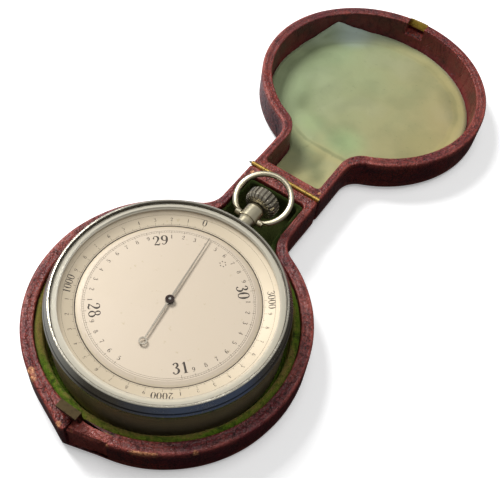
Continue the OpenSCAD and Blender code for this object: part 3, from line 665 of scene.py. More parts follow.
def keyhole_loop(bm, k, z, round_steps=110, fillet_steps=14):
    """One closed loop of edges round a keyhole, at the height z."""
    tangent_y = math.sqrt((k.round + k.fillet) ** 2 - (k.neck + k.fillet) ** 2)
    reach = math.degrees(math.asin((k.neck + k.fillet) / (k.round + k.fillet)))
    known = set(bm.verts)
    vert = bm.verts.new((0, -k.round, z))
    vert = turn(bm, vert, (0, 0), 180 - reach, round_steps)
    vert = turn(bm, vert, (k.neck + k.fillet, tangent_y), reach - 90, fillet_steps)
    vert = draw_to(bm, vert, (k.neck, k.end - k.corner), 9)
    vert = turn(bm, vert, (k.neck - k.corner, k.end - k.corner), 90, 4)
    draw_to(bm, vert, (0, k.end), 8)
    half = [v for v in bm.verts if v not in known]
    edges = list({e for v in half for e in v.link_edges})
    bmesh.ops.mirror(bm, geom=half + edges, merge_dist=1e-6, axis="X")
    verts = [v for v in bm.verts if v not in known]
    return list({e for v in verts for e in v.link_edges}), verts


def skin_rings(bm, rings):
    """Loops for (keyhole, height, worn) rows, bridged in order. Gives the vertices of each loop."""
    worn = bm.verts.layers.float.get("worn") or bm.verts.layers.float.new("worn")
    loops = []
    # Loops in one plane may be bridged with a twist, so they are stacked first
    for i, (keyhole, _, wear) in enumerate(rings):
        edges, verts = keyhole_loop(bm, keyhole, i * MM)
        for v in verts:
            v[worn] = wear
        loops.append((edges, verts))
    for (a, _), (b, _) in zip(loops, loops[1:]):
        bmesh.ops.bridge_loops(bm, edges=a + b)
    for i, (_, z, _) in enumerate(rings):
        bmesh.ops.translate(bm, vec=(0, 0, z - i * MM), verts=loops[i][1])
    return loops


def extrude_ring(bm, edges):
    """Extrudes a ring of edges on the spot, and gives the new edges and vertices."""
    made = bmesh.ops.extrude_edge_only(bm, edges=edges)["geom"]
    return ([g for g in made if isinstance(g, bmesh.types.BMEdge)],
            [g for g in made if isinstance(g, bmesh.types.BMVert)])


def cap(bm, edges):
    """Closes a keyhole's loop with three rings drawn in towards its middle and one last face."""
    to_middle = Matrix.Translation((0, -12 * MM, 0))
    for _ in range(3):
        edges, verts = extrude_ring(bm, edges)
        bmesh.ops.scale(bm, vec=(0.6, 0.6, 1), verts=verts, space=to_middle)
    bmesh.ops.contextual_create(bm, geom=edges)


def closed_shell(rings):
    """Bridged keyhole rings, closed at both ends, with their faces outwards."""
    bm = bmesh.new()
    loops = skin_rings(bm, rings)
    for edges, _ in (loops[0], loops[-1]):
        cap(bm, edges)
    bmesh.ops.recalc_face_normals(bm, faces=bm.faces)
    return bm


def quarter(radius, steps=4):
    """Pairs (along, up) round a quarter circle, from the wall to the flat."""
    for i in range(steps + 1):
        a = math.pi / 2 * i / steps
        yield radius * (1 - math.cos(a)), radius * math.sin(a)


def shell_rings(bottom_edge, rim_edge):
    """Rings of a leather tray: under the floor, up the side, over the rim, down inside."""
    outer = outer_keyhole
    top_in = inner_keyhole(-0.5 * MM)
    rows = [(outer(6 * MM), 0, 0.1), (outer(bottom_edge + 0.6 * MM), 0, 0.3)]
    for along, up in reversed(list(quarter(bottom_edge))):
        rows.append((outer(along), bottom_edge - up, 0.25))
    for share_up in (0.25, 0.5, 0.75):
        rows.append((outer(), bottom_edge + (RIM - rim_edge - bottom_edge) * share_up, 0.0))
    rows += [(outer(along), RIM - rim_edge + up, 0.3) for along, up in quarter(rim_edge)]
    lip = outer(rim_edge)
    rows += [(between(lip, top_in, t), RIM - drop * MM, wear)
             for t, drop, wear in ((0.1, 0.0, 0.15), (0.3, 0.0, 0.1), (0.5, 0.02, 0.1), (0.56, 0.16, 0.2),
                                   (0.8, 0.12, 0.1))]
    rows += [(inner_keyhole(-0.5 * MM + up * 0.5), RIM - 0.12 * MM - along * 0.5, 0.2)
             for along, up in quarter(1 * MM, 3)]
    # Below zero the leather is the smooth skiver that lines the walls
    rows += [(inner_keyhole(), RIM - 1.6 * MM, -0.6), (inner_keyhole(), RIM - 7 * MM, -0.6),
             (inner_keyhole(), FLOOR + 0.4 * MM, -0.6), (inner_keyhole(0.5 * MM), FLOOR, -0.6)]
    return rows


def lumps(bm, depth, size, seed):
    """Moves vertices inwards by a smooth noise, as leather lies on wood. The foot stays flat."""
    bm.normal_update()
    for v in bm.verts:
        if v.co.z >= 0.4 * MM:
            height = 0.5 + 0.5 * noise.noise(v.co / size + Vector((seed, 0, 0)))
            v.co -= v.normal * depth * min(max(height, 0), 1)


def add_object(name, data):
    """Puts a new object in the scene, at the origin."""
    made = bpy.data.objects.new(name, data)
    bpy.context.scene.collection.objects.link(made)
    return made


def shown_mesh(made):
    """The mesh of an object as its modifiers or its curve leave it."""
    bpy.context.view_layer.update()
    return bpy.data.meshes.new_from_object(made.evaluated_get(bpy.context.evaluated_depsgraph_get()))


def piece(name, bm, material, body=None):
    """Makes a mesh object of bm, shaded smooth, in place, riding on a body if one is named."""
    mesh = bpy.data.meshes.new(name)
    bm.to_mesh(mesh)
    bm.free()
    mesh.polygons.foreach_set("use_smooth", [True] * len(mesh.polygons))
    mesh.materials.append(material)
    made = add_object(name, mesh)
    if body:
        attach(made, body)
    return made


def block(low, high):
    """A box between two corners, to cut with."""
    bm = bmesh.new()
    bmesh.ops.create_cube(bm, size=1, matrix=Matrix.LocRotScale((Vector(low) + Vector(high)) / 2, None,
                                                                Vector(high) - Vector(low)))
    return bm


def sector(centre_y, low, high, start, end):
    """A block bent round an upright line: low and high are (radius, height), angles are from +Y."""
    bm = bmesh.new()
    bmesh.ops.create_cube(bm, size=1)
    across = [e for e in bm.edges if abs(e.verts[0].co.x - e.verts[1].co.x) > 0.5]
    bmesh.ops.subdivide_edges(bm, edges=across, cuts=7)
    for v in bm.verts:
        angle = start + (end - start) * (v.co.x + 0.5)
        radius = low[0] + (high[0] - low[0]) * (v.co.y + 0.5)
        z = low[1] + (high[1] - low[1]) * (v.co.z + 0.5)
        v.co = (math.sin(angle) * radius, centre_y + math.cos(angle) * radius, z)
    bmesh.ops.recalc_face_normals(bm, faces=bm.faces)
    return bm


def cut_away(target, bm):
    """Cuts a closed shape out of a piece by a Boolean modifier, and keeps the result as its mesh."""
    mesh = bpy.data.meshes.new("cutter")
    bm.to_mesh(mesh)
    bm.free()
    cutter = add_object("cutter", mesh)
    cut = target.modifiers.new("cut", "BOOLEAN")
    cut.object = cutter
    cut.solver = "MANIFOLD"
    done = shown_mesh(target)
    target.modifiers.clear()
    target.data = done
    bpy.data.objects.remove(cutter)


# Plan of the thumb-piece's bulge: left foot, nose and right foot, in degrees from -Y and in metres
BEAK_LEFT, BEAK_RIGHT = math.radians(-22.6), math.radians(16)
BEAK_NOSE = Vector((-2.5 * MM, CASE_LOW.y))


def beak_radius(angle):
    """Radius of the beak's outline at an angle from -Y, or the case's own radius."""
    if not BEAK_LEFT < angle < BEAK_RIGHT:
        return ROUND
    way = Vector((math.sin(angle), -math.cos(angle)))
    foot_angle = BEAK_LEFT if way.x * BEAK_NOSE.y > way.y * BEAK_NOSE.x else BEAK_RIGHT
    foot = Vector((math.sin(foot_angle), -math.cos(foot_angle))) * ROUND
    side = BEAK_NOSE - foot
    return max(ROUND, foot.cross(side) / way.cross(side))


def beak_front(x):
    """Y of the beak's outline at x, closed in on in four steps."""
    angle = math.atan2(x, ROUND)
    for _ in range(4):
        front = -beak_radius(angle) * math.cos(angle)
        angle = math.atan2(x, -front)
    return front


def push_beak(v):
    """Moves a vertex of the base's outer skin out to the beak, less towards the rim's inner edge."""
    radius = math.hypot(v.co.x, v.co.y)
    angle = math.atan2(v.co.x, -v.co.y)
    out = beak_radius(angle) - ROUND
    if out <= 0 or v.co.y > 0 or radius < INNER_ROUND + 0.2 * MM:
        return
    near_edge = min((radius - INNER_ROUND) / (2.4 * MM), 1)
    low_fade = min(max((v.co.z - 0.3 * MM) / (2.2 * MM), 0), 1)
    grow = 1 + out * near_edge * low_fade / radius
    v.co.x *= grow
    v.co.y *= grow


def to_lid(bm):
    """Reflects a shape in the hinge line and turns its faces outwards again."""
    bmesh.ops.scale(bm, vec=(1, -1, 1), verts=bm.verts)
    bmesh.ops.translate(bm, vec=(0, LID_CENTRE, 0), verts=bm.verts)
    bmesh.ops.recalc_face_normals(bm, faces=bm.faces)


class CASE_OT_leather(bpy.types.Operator):
    """The leather covers of the base and the lid, with the beak and the slots of the catch"""
    bl_idname = "aneroid.leather"
    bl_label = "Leather covers"

    def execute(self, context):
        s = context.scene.case_leather
        skin = context.scene.case_shared_leather = morocco(s)
        slack = 0.12 * MM
        over = RIM + 15 * MM
        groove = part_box("hinge_leaf_base")[1].z - HINGE.z + slack
        channel = ((-20 * MM, HINGE.y - groove, HINGE.z - groove),
                   (20 * MM, HINGE.y + groove, HINGE.z + 1 * MM))

        bm = closed_shell(shell_rings(s.base_edge, s.rim_edge))
        for v in bm.verts:
            push_beak(v)
        lumps(bm, s.lump, 11 * MM, 3)
        base = piece("leather_base", bm, skin, "base")
        left, right = BUTTON_LOW.x - slack, BUTTON_HIGH.x + slack
        thumb_bay = ((left, CASE_LOW.y - 10 * MM, BUTTON_LOW.z - slack),
                     (right, BUTTON_HIGH.y + 1.62 * MM, over))
        flap_bay = ((left, -43 * MM, WOOD_TOP - 0.1 * MM), (right, -39 * MM, over))
        tongue_bay = ((TONGUE_LOW.x - slack, TONGUE_LOW.y + 1.35 * MM, 3.3 * MM), (0, -41 * MM, over))
        for low, high in (thumb_bay, flap_bay, tongue_bay, channel):
            cut_away(base, block(low, high))
        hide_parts("base_leather")

        bm = closed_shell(shell_rings(s.lid_edge, s.rim_edge))
        lumps(bm, s.lump, 13 * MM, 19)
        to_lid(bm)
        lid = piece("leather_lid", bm, skin, "lid")
        start, end = (math.atan2(x, ROUND) for x in (STRIKER_LOW.x - slack, STRIKER_HIGH.x + slack))
        cut_away(lid, sector(LID_CENTRE, (41 * MM, RIM - 5 * MM), (ROUND - 0.3 * MM, over), start, end))
        cut_away(lid, block(*channel))
        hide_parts("lid_leather")
        return {"FINISHED"}


def creases(x, y, z):
    """Narrow and broad creases that run slantwise over the thumb-piece, from -1 to 1."""
    slant = x / MM + 0.35 * (y + 45 * MM) / MM
    narrow = noise.noise(Vector((slant / 1.5, y / (7 * MM), z / (9 * MM))))
    broad = noise.noise(Vector((slant / 2.3, 4 + y / (5 * MM), z / (6 * MM))))
    return narrow, broad


class CASE_OT_thumb_piece(bpy.types.Operator):
    """The padded leather thumb-piece of the catch, wrinkled across, with a flap over its workings"""
    bl_idname = "aneroid.thumb_piece"
    bl_label = "Thumb-piece"

    def execute(self, context):
        s = context.scene.case_leather
        bm = bmesh.new()
        worn = bm.verts.layers.float.new("worn")
        width = BUTTON_HIGH.x - BUTTON_LOW.x
        bmesh.ops.create_cube(bm, size=1)
        bmesh.ops.subdivide_edges(bm, edges=bm.edges, cuts=35, use_grid_fill=True)
        for v in bm.verts:
            across, deep, high = v.co.x + 0.5, 0.5 - v.co.y, v.co.z + 0.5
            x = BUTTON_LOW.x + across * width
            outer = beak_front(x)
            edge = min(across, 1 - across, 0.1) / 0.1
            top = max(0, (high - 0.8) / 0.2)
            z = BUTTON_LOW.z + (RIM - BUTTON_LOW.z) * high
            flap = -math.sqrt((INNER_ROUND + s.flap_gap) ** 2 - x * x)
            inner = flap if high > 0.9 else BUTTON_HIGH.y
            y = inner + (outer - inner) * deep
            narrow, broad = creases(x, y, z)
            give = (0.42 * (narrow - 0.8) + 0.5 * (broad - 0.8)) * MM
            if top:
                round_off = 0.9 * MM * max(0, deep - 0.6) ** 2 / 0.16 + 0.3 * MM * (1 - edge) ** 2
                z += top * (give * 0.8 - round_off)
            if y > BUTTON_HIGH.y:
                z = max(z, WOOD_TOP + 0.08 * MM)
            if deep > 0.75:
                y -= give * (deep - 0.75) / 0.25 - 0.35 * MM * top ** 2 * deep
            v.co = (x, y, z)
            # Partly real rubbing on top, partly painted highlight: the wrinkles' ridges are marked worn, so
            # the leather's shader paints them lighter
            v[worn] = 0.45 + 0.2 * top * deep + 0.5 * narrow
        made = piece("leather_thumb_piece", bm, context.scene.case_shared_leather, "catch")
        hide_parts("catch_button")
        return {"FINISHED"}


class CASE_OT_velvet(bpy.types.Operator):
    """The velvet bed of the base with its raised wall"""
    bl_idname = "aneroid.velvet"
    bl_label = "Velvet lining"

    def execute(self, context):
        s = context.scene.case_linings
        out = inner_keyhole(0.06 * MM)
        bed = Keyhole(s.bed_round, s.bed_neck, INNER_END - 1.4 * MM, s.bed_fillet, 1.5 * MM)
        rows = [(out, FLOOR + 0.05 * MM, 0.0), (out, FLOOR + 4 * MM, 0.0), (out, VELVET_TOP - 1.0 * MM, 0.5)]
        crown = 1.15 * MM
        for i in range(9):
            a = math.pi * i / 8
            arch = between(out, bed, (1 - math.cos(a)) / 2)
            rows.append((arch, VELVET_TOP - crown * (1 - math.sin(a)), i / 8))
        rows += [(bed, VELVET_TOP - 4 * MM, 0.9), (bed, SEAT + 2 * MM, 0.3), (bed, SEAT + 0.5 * MM, 0.0),
                 (between(bed, out, -0.25), SEAT - 0.05 * MM, 0.0)]
        bm = closed_shell(rows)
        bm.normal_update()
        tuft = Vector((-6.5 * MM, -38.6 * MM, VELVET_TOP))
        for v in bm.verts:
            on_wall = min(max((v.co.z - SEAT - 1 * MM) / (4 * MM), 0), 1)
            wave = noise.noise(v.co / (5 * MM)) + 0.6 * noise.noise(v.co / (1.7 * MM) + Vector((7, 0, 0)))
            v.co -= v.normal * 0.16 * MM * (0.8 + wave) * on_wall
            near = max(0, 1 - (v.co - tuft).length / (5 * MM))
            v.co.z += 0.9 * MM * near * near * (1 + 0.6 * noise.noise(v.co / (0.9 * MM)))
        made = piece("velvet_lining", bm, old_velvet(s), "base")
        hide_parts("base_lining")
        return {"FINISHED"}


# Height of the silk's edge up the lid's wall: angle from +X about the round, in degrees, and millimetres
SILK_EDGE = [(-180, 0.0), (-60, 0.0), (0, 0.1), (60, 0.2), (92, 0.6), (106, 1.2), (118, 1.8), (130, 4.2),
             (140, 7.6), (147, 4.6), (155, 2.0), (168, 0.2), (180, 0.0)]


def edge_height(angle):
    """How far the silk's edge stands up the wall at an angle in degrees, in metres."""
    for (a, low), (b, high) in zip(SILK_EDGE, SILK_EDGE[1:]):
        if a <= angle <= b:
            return (low + (high - low) * (angle - a) / (b - a)) * MM
    return 0.0


def fold(p, start, end, width):
    """A ridge from start to end: 1 on its line, 0 at its width away, fading to its ends."""
    along = (end - start).normalized()
    reach = (p - start).dot(along) / (end - start).length
    aside = abs((p - start).cross(along))
    if not 0 < reach < 1 or aside > width:
        return 0.0
    return math.sin(math.pi * reach) * (1 - aside / width) ** 2 * (1 + 2 * aside / width)


# Ridges of the loose silk, as (start, end, width, height), in millimetres from the lid's round centre
SILK_FOLDS = [((-20, -42), (-31, 6), 6, 0.9), ((-11, -52), (4, -26), 8, 1.4), ((-25, -20), (4, -34), 7, 0.9),
              ((8, -54), (-2, -30), 5, -0.8), ((-34, 10), (-16, 32), 5, 0.8), ((18, 28), (36, 4), 6, 0.6),
              ((-4, -62), (6, -44), 4, 0.7), ((30, -14), (10, -34), 5, 0.5), ((-22, -30), (-8, 10), 7, -0.7)]


class CASE_OT_silk(bpy.types.Operator):
    """The loose silk on the lid's floor, creased, with one corner standing up the wall"""
    bl_idname = "aneroid.silk"
    bl_label = "Silk lining"

    def execute(self, context):
        s = context.scene.case_linings
        bm = bmesh.new()
        outline = inner_keyhole(0.35 * MM)
        edges, _ = keyhole_loop(bm, outline, 0)
        rings = 26
        for i in range(1, rings):
            edges, verts = extrude_ring(bm, edges)
            step = (rings - i) / (rings - i + 1)
            bmesh.ops.scale(bm, vec=(step, step, 1), verts=verts)
        bmesh.ops.pointmerge(bm, verts=verts, merge_co=(0, 0, 0))
        bmesh.ops.scale(bm, vec=(1, -1, 1), verts=bm.verts)
        bmesh.ops.recalc_face_normals(bm, faces=bm.faces)
        if sum(f.normal.z for f in bm.faces) < 0:
            bmesh.ops.reverse_faces(bm, faces=bm.faces)
        shade = bm.verts.layers.float.new("fold")
        aside = Vector((2.2, 2.6)) * MM
        for v in bm.verts:
            p = Vector((v.co.x, v.co.y))
            from_wall = outline.round - p.length
            height = 0.12 * MM * noise.noise(v.co / (9 * MM)) + 0.05 * MM * noise.noise(v.co / (2.5 * MM))
            for start, end, width, high in SILK_FOLDS:
                line = (Vector(start) * MM, Vector(end) * MM, width * MM)
                height += s.fold_height * high * fold(p, *line)
                # Painted light and shade: one side of each fold is marked lighter, the other darker, for the
                # silk's shader
                v[shade] += high * (fold(p + aside, *line) - fold(p - aside, *line))
            impression = abs(p.length - PRESSED_RING) / (1.6 * MM)
            height -= 0.18 * MM * max(0, 1 - impression) ** 2
            height = min(max(height, -0.3 * MM), SILK_ROOM if p.length < 39.5 * MM else 1.1 * MM)
            if p.y > -30 * MM and from_wall < 7 * MM:
                up = edge_height(math.degrees(math.atan2(p.y, p.x)))
                ease = max(0, 1 - from_wall / (7 * MM)) ** 3
                height += up * ease
            v.co.z = FLOOR + SILK_UP + height
        bmesh.ops.translate(bm, vec=(0, LID_CENTRE, 0), verts=bm.verts)
        made = piece("silk_lining", bm, old_silk(s), "lid")
        thick = made.modifiers.new("cloth", "SOLIDIFY")
        thick.thickness = 0.18 * MM
        thick.offset = -1
        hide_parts("lid_lining")
        return {"FINISHED"}


# Strokes of the figures, in hundredths of their height: (closed, [(x, y, half width), ...])
STROKES = {
    "0": [(True, [(30, 98, 2), (6, 50, 7.5), (30, 2, 2), (54, 50, 7.5)])],
    "1": [(False, [(31, 98, 6), (31, 50, 6.5), (31, 2, 6.5)]),
          (False, [(12, 80, 1.5), (22, 88, 2), (31, 97, 3)]),
          (False, [(14, 2, 1.8), (31, 2, 2), (48, 2, 1.8)])],
    "2": [(False, [(10, 70, 6), (9, 82, 3.5), (26, 98, 2), (47, 88, 5.5), (50, 70, 7), (38, 46, 4),
                   (16, 20, 2), (6, 6, 2)]),
          (False, [(6, 6, 3), (20, 10, 4.5), (40, 4, 5.5), (52, 7, 3), (55, 22, 1.2)])],
    "3": [(False, [(10, 82, 5.5), (26, 98, 2), (44, 88, 6), (44, 70, 6), (26, 55, 1.8)]),
          (False, [(26, 55, 1.8), (47, 46, 5), (52, 24, 7.5), (36, 3, 3), (18, 3, 2.5), (8, 18, 5.5)])],
    "4": [(False, [(40, 98, 2), (22, 62, 2), (3, 29, 2)]),
          (False, [(3, 29, 2), (30, 29, 2.2), (57, 29, 2)]),
          (False, [(41, 97, 5), (41, 50, 6), (41, 2, 6)])],
    "5": [(False, [(13, 94, 4), (30, 91, 4.5), (50, 95, 3)]),
          (False, [(13, 94, 1.6), (11, 75, 1.6), (10, 54, 2)]),
          (False, [(10, 54, 2), (30, 61, 3), (49, 48, 6.5), (52, 26, 7), (38, 4, 3), (20, 3, 2.2),
                   (8, 17, 5.5)])],
    "6": [(True, [(30, 56, 2), (8, 30, 7), (30, 2, 2), (53, 29, 7)]),
          (False, [(8, 30, 7), (11, 62, 6), (26, 90, 3), (44, 97, 2), (50, 86, 5)])],
    "7": [(False, [(7, 78, 1.4), (8, 93, 3), (25, 94, 4.5), (42, 90, 5), (55, 95, 3)]),
          (False, [(55, 95, 1.8), (38, 60, 3), (27, 30, 5.5), (25, 4, 7)])],
    "8": [(True, [(30, 98, 2), (13, 78, 5.5), (30, 55, 2), (47, 77, 5)]),
          (True, [(30, 55, 2), (6, 28, 6), (30, 2, 2), (54, 27, 6.5)])],
}
STROKES["9"] = [(closed, [(60 - x, 100 - y, w) for x, y, w in points]) for closed, points in STROKES["6"]]
STROKE_WEIGHT = 1.35
DIGIT_PITCH = 0.72
ENGRAVED = 0.012 * MM


def digit_mesh(digit):
    """A flat inlay in the shape of a figure, one unit high."""
    curve = bpy.data.curves.new("stroke", "CURVE")
    curve.dimensions = "3D"
    curve.bevel_depth = 1
    curve.bevel_resolution = 0
    curve.resolution_u = 4
    curve.use_fill_caps = True
    for closed, points in STROKES[digit]:
        spline = curve.splines.new("BEZIER")
        spline.bezier_points.add(len(points) - 1)
        spline.use_cyclic_u = closed
        for knot, (x, y, half) in zip(spline.bezier_points, points):
            knot.co = ((x - 30) / 100, y / 100, 0)
            knot.radius = half / 100 * STROKE_WEIGHT
            knot.handle_left_type = knot.handle_right_type = "AUTO"
    holder = add_object("stroke", curve)
    mesh = shown_mesh(holder)
    mesh.transform(Matrix.Diagonal((1, 1, 0.12, 1)))
    bpy.data.objects.remove(holder)
    return mesh


def write_number(bm, digits, text, height, angle, radius, z, slope=0.0, to_centre=False):
    """Adds a number to bm, its figures side by side round the dial, centred on an angle."""
    apart = math.degrees(DIGIT_PITCH * height / (radius + (-height if to_centre else height) / 2))
    for i, digit in enumerate(text):
        known = len(bm.verts)
        bm.from_mesh(digits[digit])
        bm.verts.ensure_lookup_table()
        aside = (i - (len(text) - 1) / 2) * apart * (1 if to_centre else -1)
        spot = spot_on(angle + aside, radius, z, slope, to_centre) @ Matrix.Scale(height, 4)
        bmesh.ops.transform(bm, matrix=spot, verts=bm.verts[known:])


def spot_on(angle, radius, z, slope=0.0, to_centre=False):
    """Place on a dial with figures' tops outward, or towards the centre, at an angle from +X."""
    turned = Matrix.Rotation(math.radians(angle - 90), 4, "Z")
    there = turned @ Matrix.Translation((0, radius, z)) @ Matrix.Rotation(slope, 4, "X")
    return there @ Matrix.Rotation(math.pi, 4, "Z") if to_centre else there


def mark(bm, spot, width, tall):
    """A thin engraved stroke that runs outward from its spot."""
    size = Matrix.Diagonal((width, tall, ENGRAVED, 1))
    bmesh.ops.create_cube(bm, size=1, matrix=spot @ Matrix.Translation((0, tall / 2, 0)) @ size)


def engraved_circle(bm, radius, z, width, rise=0.0):
    """A flat ring, turned from four corners."""
    corners = [bm.verts.new((radius + x * width / 2, 0, z + x * rise * width / 2 + y * ENGRAVED / 2))
               for x, y in ((-1, -1), (1, -1), (1, 1), (-1, 1))]
    sides = [bm.edges.new((corners[i], corners[(i + 1) % 4])) for i in range(4)]
    bmesh.ops.spin(bm, geom=corners + sides, cent=(0, 0, 0), axis=(0, 0, 1), angle=2 * math.pi,
                   steps=180, use_merge=True, use_duplicate=False)


def inch_angle(inches):
    """A reading's angle from +X: 28 is at the lower left, and an inch is a quarter turn to the right."""
    return 225 - 90 * (inches - 28)


def feet_angle(thousands):
    """A height's angle from +X on the ring, whose marks draw together as it grows."""
    return 106 + 101.8 * thousands - 1.55 * thousands ** 2


class DIAL_OT_figures(bpy.types.Operator):
    """Scale and figures of inches on the dial"""
    bl_idname = "aneroid.dial_figures"
    bl_label = "Dial figures"

    def execute(self, context):
        s = context.scene.case_figures
        digits = {d: digit_mesh(d) for d in STROKES}
        bm = bmesh.new()
        z = DIAL_HIGH.z + 0.002 * MM
        engraved_circle(bm, DIAL_CIRCLE, z, s.line)
        engraved_circle(bm, DIAL_CIRCLE - 0.55 * MM, z, s.line * 0.8)
        steps = 10 * s.tenths_split
        for i in range(int(-0.5 * steps), 3 * steps + 1):
            on_inch = i % steps == 0
            on_tenth = i % s.tenths_split == 0
            tall = (1.25 if on_inch else 0.95 if on_tenth else 0.55) * MM
            width = s.line * (1.3 if on_tenth else 0.8)
            mark(bm, spot_on(inch_angle(28 + i / steps), DIAL_CIRCLE - tall, z), width, tall)
        for tenth in range(-5, 31):
            angle = inch_angle(28 + tenth / 10)
            inward = not 0 <= angle <= 180
            whole = tenth % 10 == 0
            tall = s.inch_height if whole else s.tenth_height
            text = str(28 + tenth // 10) if whole else str(tenth % 10)
            foot = DIAL_CIRCLE - (1.75 * MM if whole else 1.6 * MM)
            write_number(bm, digits, text, tall, angle, foot if inward else foot - tall, z, to_centre=inward)
        star = Matrix.Translation((s.star_x, s.star_y, z))
        for i in range(6):
            turned = Matrix.Rotation(math.radians(60 * i + 15), 4, "Z")
            place = star @ turned @ Matrix.Translation((0.95 * MM, 0, 0))
            bmesh.ops.create_cone(bm, cap_ends=True, segments=10, radius1=0.2 * MM, radius2=0.2 * MM,
                                  depth=ENGRAVED, matrix=place)
        bmesh.ops.recalc_face_normals(bm, faces=bm.faces)
        made = piece("dial_figures", bm, waxed(s), "instrument")
        context.scene.case_shared_wax = made.data.materials[0]
        return {"FINISHED"}


class DIAL_OT_altitude(bpy.types.Operator):
    """Scale and figures of feet on the turning ring"""
    bl_idname = "aneroid.altitude_figures"
    bl_label = "Altitude figures"

    def execute(self, context):
        s = context.scene.case_figures
        digits = {d: digit_mesh(d) for d in STROKES}
        low_r, low_z = DIAL_HIGH.x + 0.1 * MM, DIAL_HIGH.z - 0.45 * MM
        slope = math.atan2(DIAL_HIGH.z + 1.0 * MM - low_z, RING_TOP - low_r)

        def height_at(radius):
            """Just over the ring's cone."""
            return low_z + (radius - low_r) * math.tan(slope) + 0.003 * MM

        bm = bmesh.new()
        for radius in (RING_LINE, RING_OUTER_LINE):
            engraved_circle(bm, radius, height_at(radius), s.line * 0.8, math.tan(slope))
        # Painted shadow: a wide dark ring of wax at the ring's inner edge, standing in for the shadow in the
        # gap to the dial
        engraved_circle(bm, low_r + 0.14 * MM, height_at(low_r + 0.14 * MM), 0.26 * MM, math.tan(slope))
        for i in range(61):
            tall = (0.9 if i % 2 == 0 else 0.5) * MM
            mark(bm, spot_on(feet_angle(i / 20), RING_LINE, height_at(RING_LINE), slope), s.line, tall)
        for hundred in range(31):
            whole = hundred % 10 == 0
            tall = s.thousand_height if whole else s.hundred_height
            text = str(hundred * 100) if whole else str(hundred % 10)
            write_number(bm, digits, text, tall, feet_angle(hundred / 10), RING_FIGURES,
                         height_at(RING_FIGURES), slope)
        bmesh.ops.recalc_face_normals(bm, faces=bm.faces)
        piece("altitude_figures", bm, context.scene.case_shared_wax, "altitude")
        return {"FINISHED"}


class PARTS_OT_finishes(bpy.types.Operator):
    """Finishes of the parts that come as they are from the frame"""
    bl_idname = "aneroid.finishes"
    bl_label = "Metal, wood and glass"

    def execute(self, context):
        s = context.scene.case_metals
        joints = (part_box("glass")[1].x + 0.1 * MM, BEZEL_HIGH.x - 0.45 * MM)
        bezel = metal(s, "bezel_nickel", joints)
        worn = metal(s, "worn_nickel")
        slots = {
            "wood": bare_wood(s),
            "gilt_brass": metal(s, "gilt_brass"),
            "movement_brass": metal(s, "movement_brass"),
            "steel": metal(s, "bare_steel"),
            "blued_steel": metal(s, "blued_steel"),
            "nickel": drum_nickel(s),
            "silvered": silvering(s),
            "capsule_alloy": metal(s, "capsule_alloy"),
            "glass": crystal(s),
        }
        own = {"pendant": worn, "bow": worn, "bow_screws": worn, "bezel": bezel, "crown": fluted(s),
               "catch_tongue": metal(s, "dull_brass"), "pointer": hand_steel(s)}
        for row in frame["record"]["subparts"]:
            node = NODES[row["node"]]
            chosen = own.get(row["node"], slots.get(row["material_slot"]))
            if chosen:
                node.data.materials.clear()
                node.data.materials.append(chosen)
        return {"FINISHED"}


def area_lamp(name, place, size, power):
    """A round soft lamp that looks at the case."""
    light = bpy.data.lights.new(name, "AREA")
    light.shape = "DISK"
    light.size = size
    light.energy = power
    lamp = add_object(name, light)
    lamp.location = place
    aim = Vector((0, 0.06, 0)) - Vector(place)
    lamp.rotation_mode = "QUATERNION"
    lamp.rotation_quaternion = aim.to_track_quat("-Z", "Y")


# The camera's place and its directions, fitted to the photograph
CAMERA_PLACE = (0.0734506, -0.0978871, 0.2259690)
CAMERA_RIGHT = (0.82568, 0.55709, 0.08889)
CAMERA_UP = (-0.49789, 0.64553, 0.57913)
CAMERA_BACK = (0.26525, -0.52244, 0.81037)


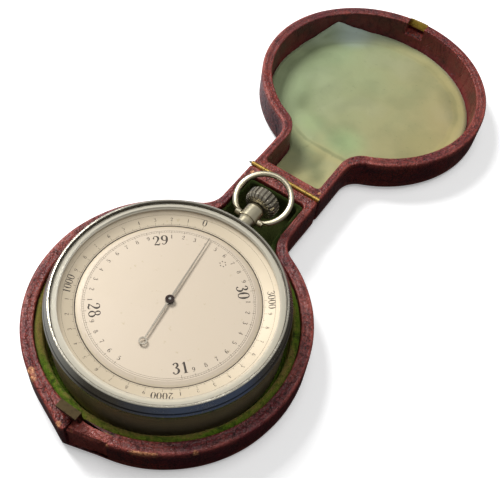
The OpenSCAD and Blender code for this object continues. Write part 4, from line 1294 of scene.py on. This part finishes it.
class STUDIO_OT_stage(bpy.types.Operator):
    """Pale floor, soft lamps, light from all round and the camera"""
    bl_idname = "aneroid.stage"
    bl_label = "Studio"

    def execute(self, context):
        s = context.scene.case_studio
        scene = context.scene
        scene.view_settings.view_transform = "Standard"

        bm = bmesh.new()
        bmesh.ops.create_grid(bm, x_segments=8, y_segments=8, size=4)
        floor = piece("studio_floor", bm, self.floor_paint(s))

        scene.world = self.room_light(s)
        area_lamp("key", (-0.55, 0.18, 0.6), 0.35, s.key)
        area_lamp("top", (0.08, 0.1, 0.9), 0.5, s.top)

        camera = bpy.data.cameras.new("camera")
        camera.lens = s.lens
        camera.sensor_width = 36
        camera.clip_start = 0.01
        camera.clip_end = 20
        holder = add_object("camera", camera)
        turned = Matrix((CAMERA_RIGHT, CAMERA_UP, CAMERA_BACK)).transposed().to_4x4()
        holder.matrix_world = Matrix.Translation(CAMERA_PLACE) @ turned
        scene.camera = holder
        return {"FINISHED"}

    def room_light(self, s):
        """A white world: soft on the object, brighter in its mirrors, and plain white to the camera."""
        world = bpy.data.worlds.new("studio")
        world.use_nodes = True
        tree = world.node_tree
        tree.nodes.clear()
        out = tree.nodes.new("ShaderNodeOutputWorld")
        back = tree.nodes.new("ShaderNodeBackground")
        path = tree.nodes.new("ShaderNodeLightPath")
        mirrored = tree.nodes.new("ShaderNodeMapRange")
        mirrored.inputs["To Min"].default_value = s.sky
        mirrored.inputs["To Max"].default_value = s.mirrored_sky
        seen = tree.nodes.new("ShaderNodeMapRange")
        tree.links.new(path.outputs["Is Glossy Ray"], mirrored.inputs["Value"])
        tree.links.new(path.outputs["Is Camera Ray"], seen.inputs["Value"])
        tree.links.new(mirrored.outputs[0], seen.inputs["To Min"])
        tree.links.new(seen.outputs[0], back.inputs["Strength"])
        tree.links.new(back.outputs[0], out.inputs["Surface"])
        return world

    def floor_paint(self, s):
        """Pale to the camera, dark to soft light, and a room with a window to the metals."""
        f = Finish("pale_floor", roughness=0.9, specular_ior_level=0.1)
        drift = f.noise(0.12, 3, 0.5)
        seen = f.node("ShaderNodeLightPath", output="Is Camera Ray")
        pale = f.mix(drift * 0.03, s.floor, s.floor_marks)
        far = f.mix(f.from_axis().above(0.25, 1.2), (0.3, 0.3, 0.3), (0.9, 0.9, 0.9))
        f.set(emission_color=f.mix(seen, (0, 0, 0), far), emission_strength=1.0)
        window = (f.axis(0) * -1 + f.axis(1) * 0.35 + (drift - 0.5) * 0.05).above(-0.02, 0.12)
        far_side = (f.axis(0) - f.axis(1) * 0.4 + (drift - 0.5) * 0.2).above(0.06, 0.12)
        room = f.mix(far_side, s.room, s.room_blue)
        room = f.mix(window, room, s.window)
        glossy = f.node("ShaderNodeLightPath", output="Is Glossy Ray")
        f.set(base_color=f.mix(seen, f.mix(glossy, s.under, room), pale))
        return f.material


OPERATORS = (CASE_OT_leather, CASE_OT_thumb_piece, CASE_OT_velvet, CASE_OT_silk, DIAL_OT_figures,
             DIAL_OT_altitude, PARTS_OT_finishes, STUDIO_OT_stage)
SETTINGS = {"case_leather": LeatherSettings, "case_linings": LiningSettings, "case_metals": MetalSettings,
            "case_figures": FigureSettings, "case_studio": StudioSettings}


class ANEROID_PT_panel(bpy.types.Panel):
    """Lists the pieces of the aneroid and its case"""
    bl_label = "Pocket aneroid"
    bl_idname = "ANEROID_PT_panel"
    bl_space_type = "VIEW_3D"
    bl_region_type = "UI"
    bl_category = "Aneroid"

    def draw(self, context):
        for operator in OPERATORS:
            self.layout.operator(operator.bl_idname)
        for name, group in SETTINGS.items():
            box = self.layout.box()
            box.label(text=group.__doc__)
            for key in group.__annotations__:
                box.prop(getattr(context.scene, name), key)


def register():
    for name, group in SETTINGS.items():
        bpy.utils.register_class(group)
        setattr(bpy.types.Scene, name, PointerProperty(type=group))
    bpy.types.Scene.case_shared_leather = PointerProperty(type=bpy.types.Material)
    bpy.types.Scene.case_shared_wax = PointerProperty(type=bpy.types.Material)
    for made in (*OPERATORS, ANEROID_PT_panel):
        bpy.utils.register_class(made)


def unregister():
    for made in (ANEROID_PT_panel, *reversed(OPERATORS)):
        bpy.utils.unregister_class(made)
    del bpy.types.Scene.case_shared_wax
    del bpy.types.Scene.case_shared_leather
    for name, group in SETTINGS.items():
        delattr(bpy.types.Scene, name)
        bpy.utils.unregister_class(group)


def main():
    register()
    for operator in OPERATORS:
        group, name = operator.bl_idname.split(".")
        getattr(getattr(bpy.ops, group), name)()


if __name__ == "__main__":
    main()
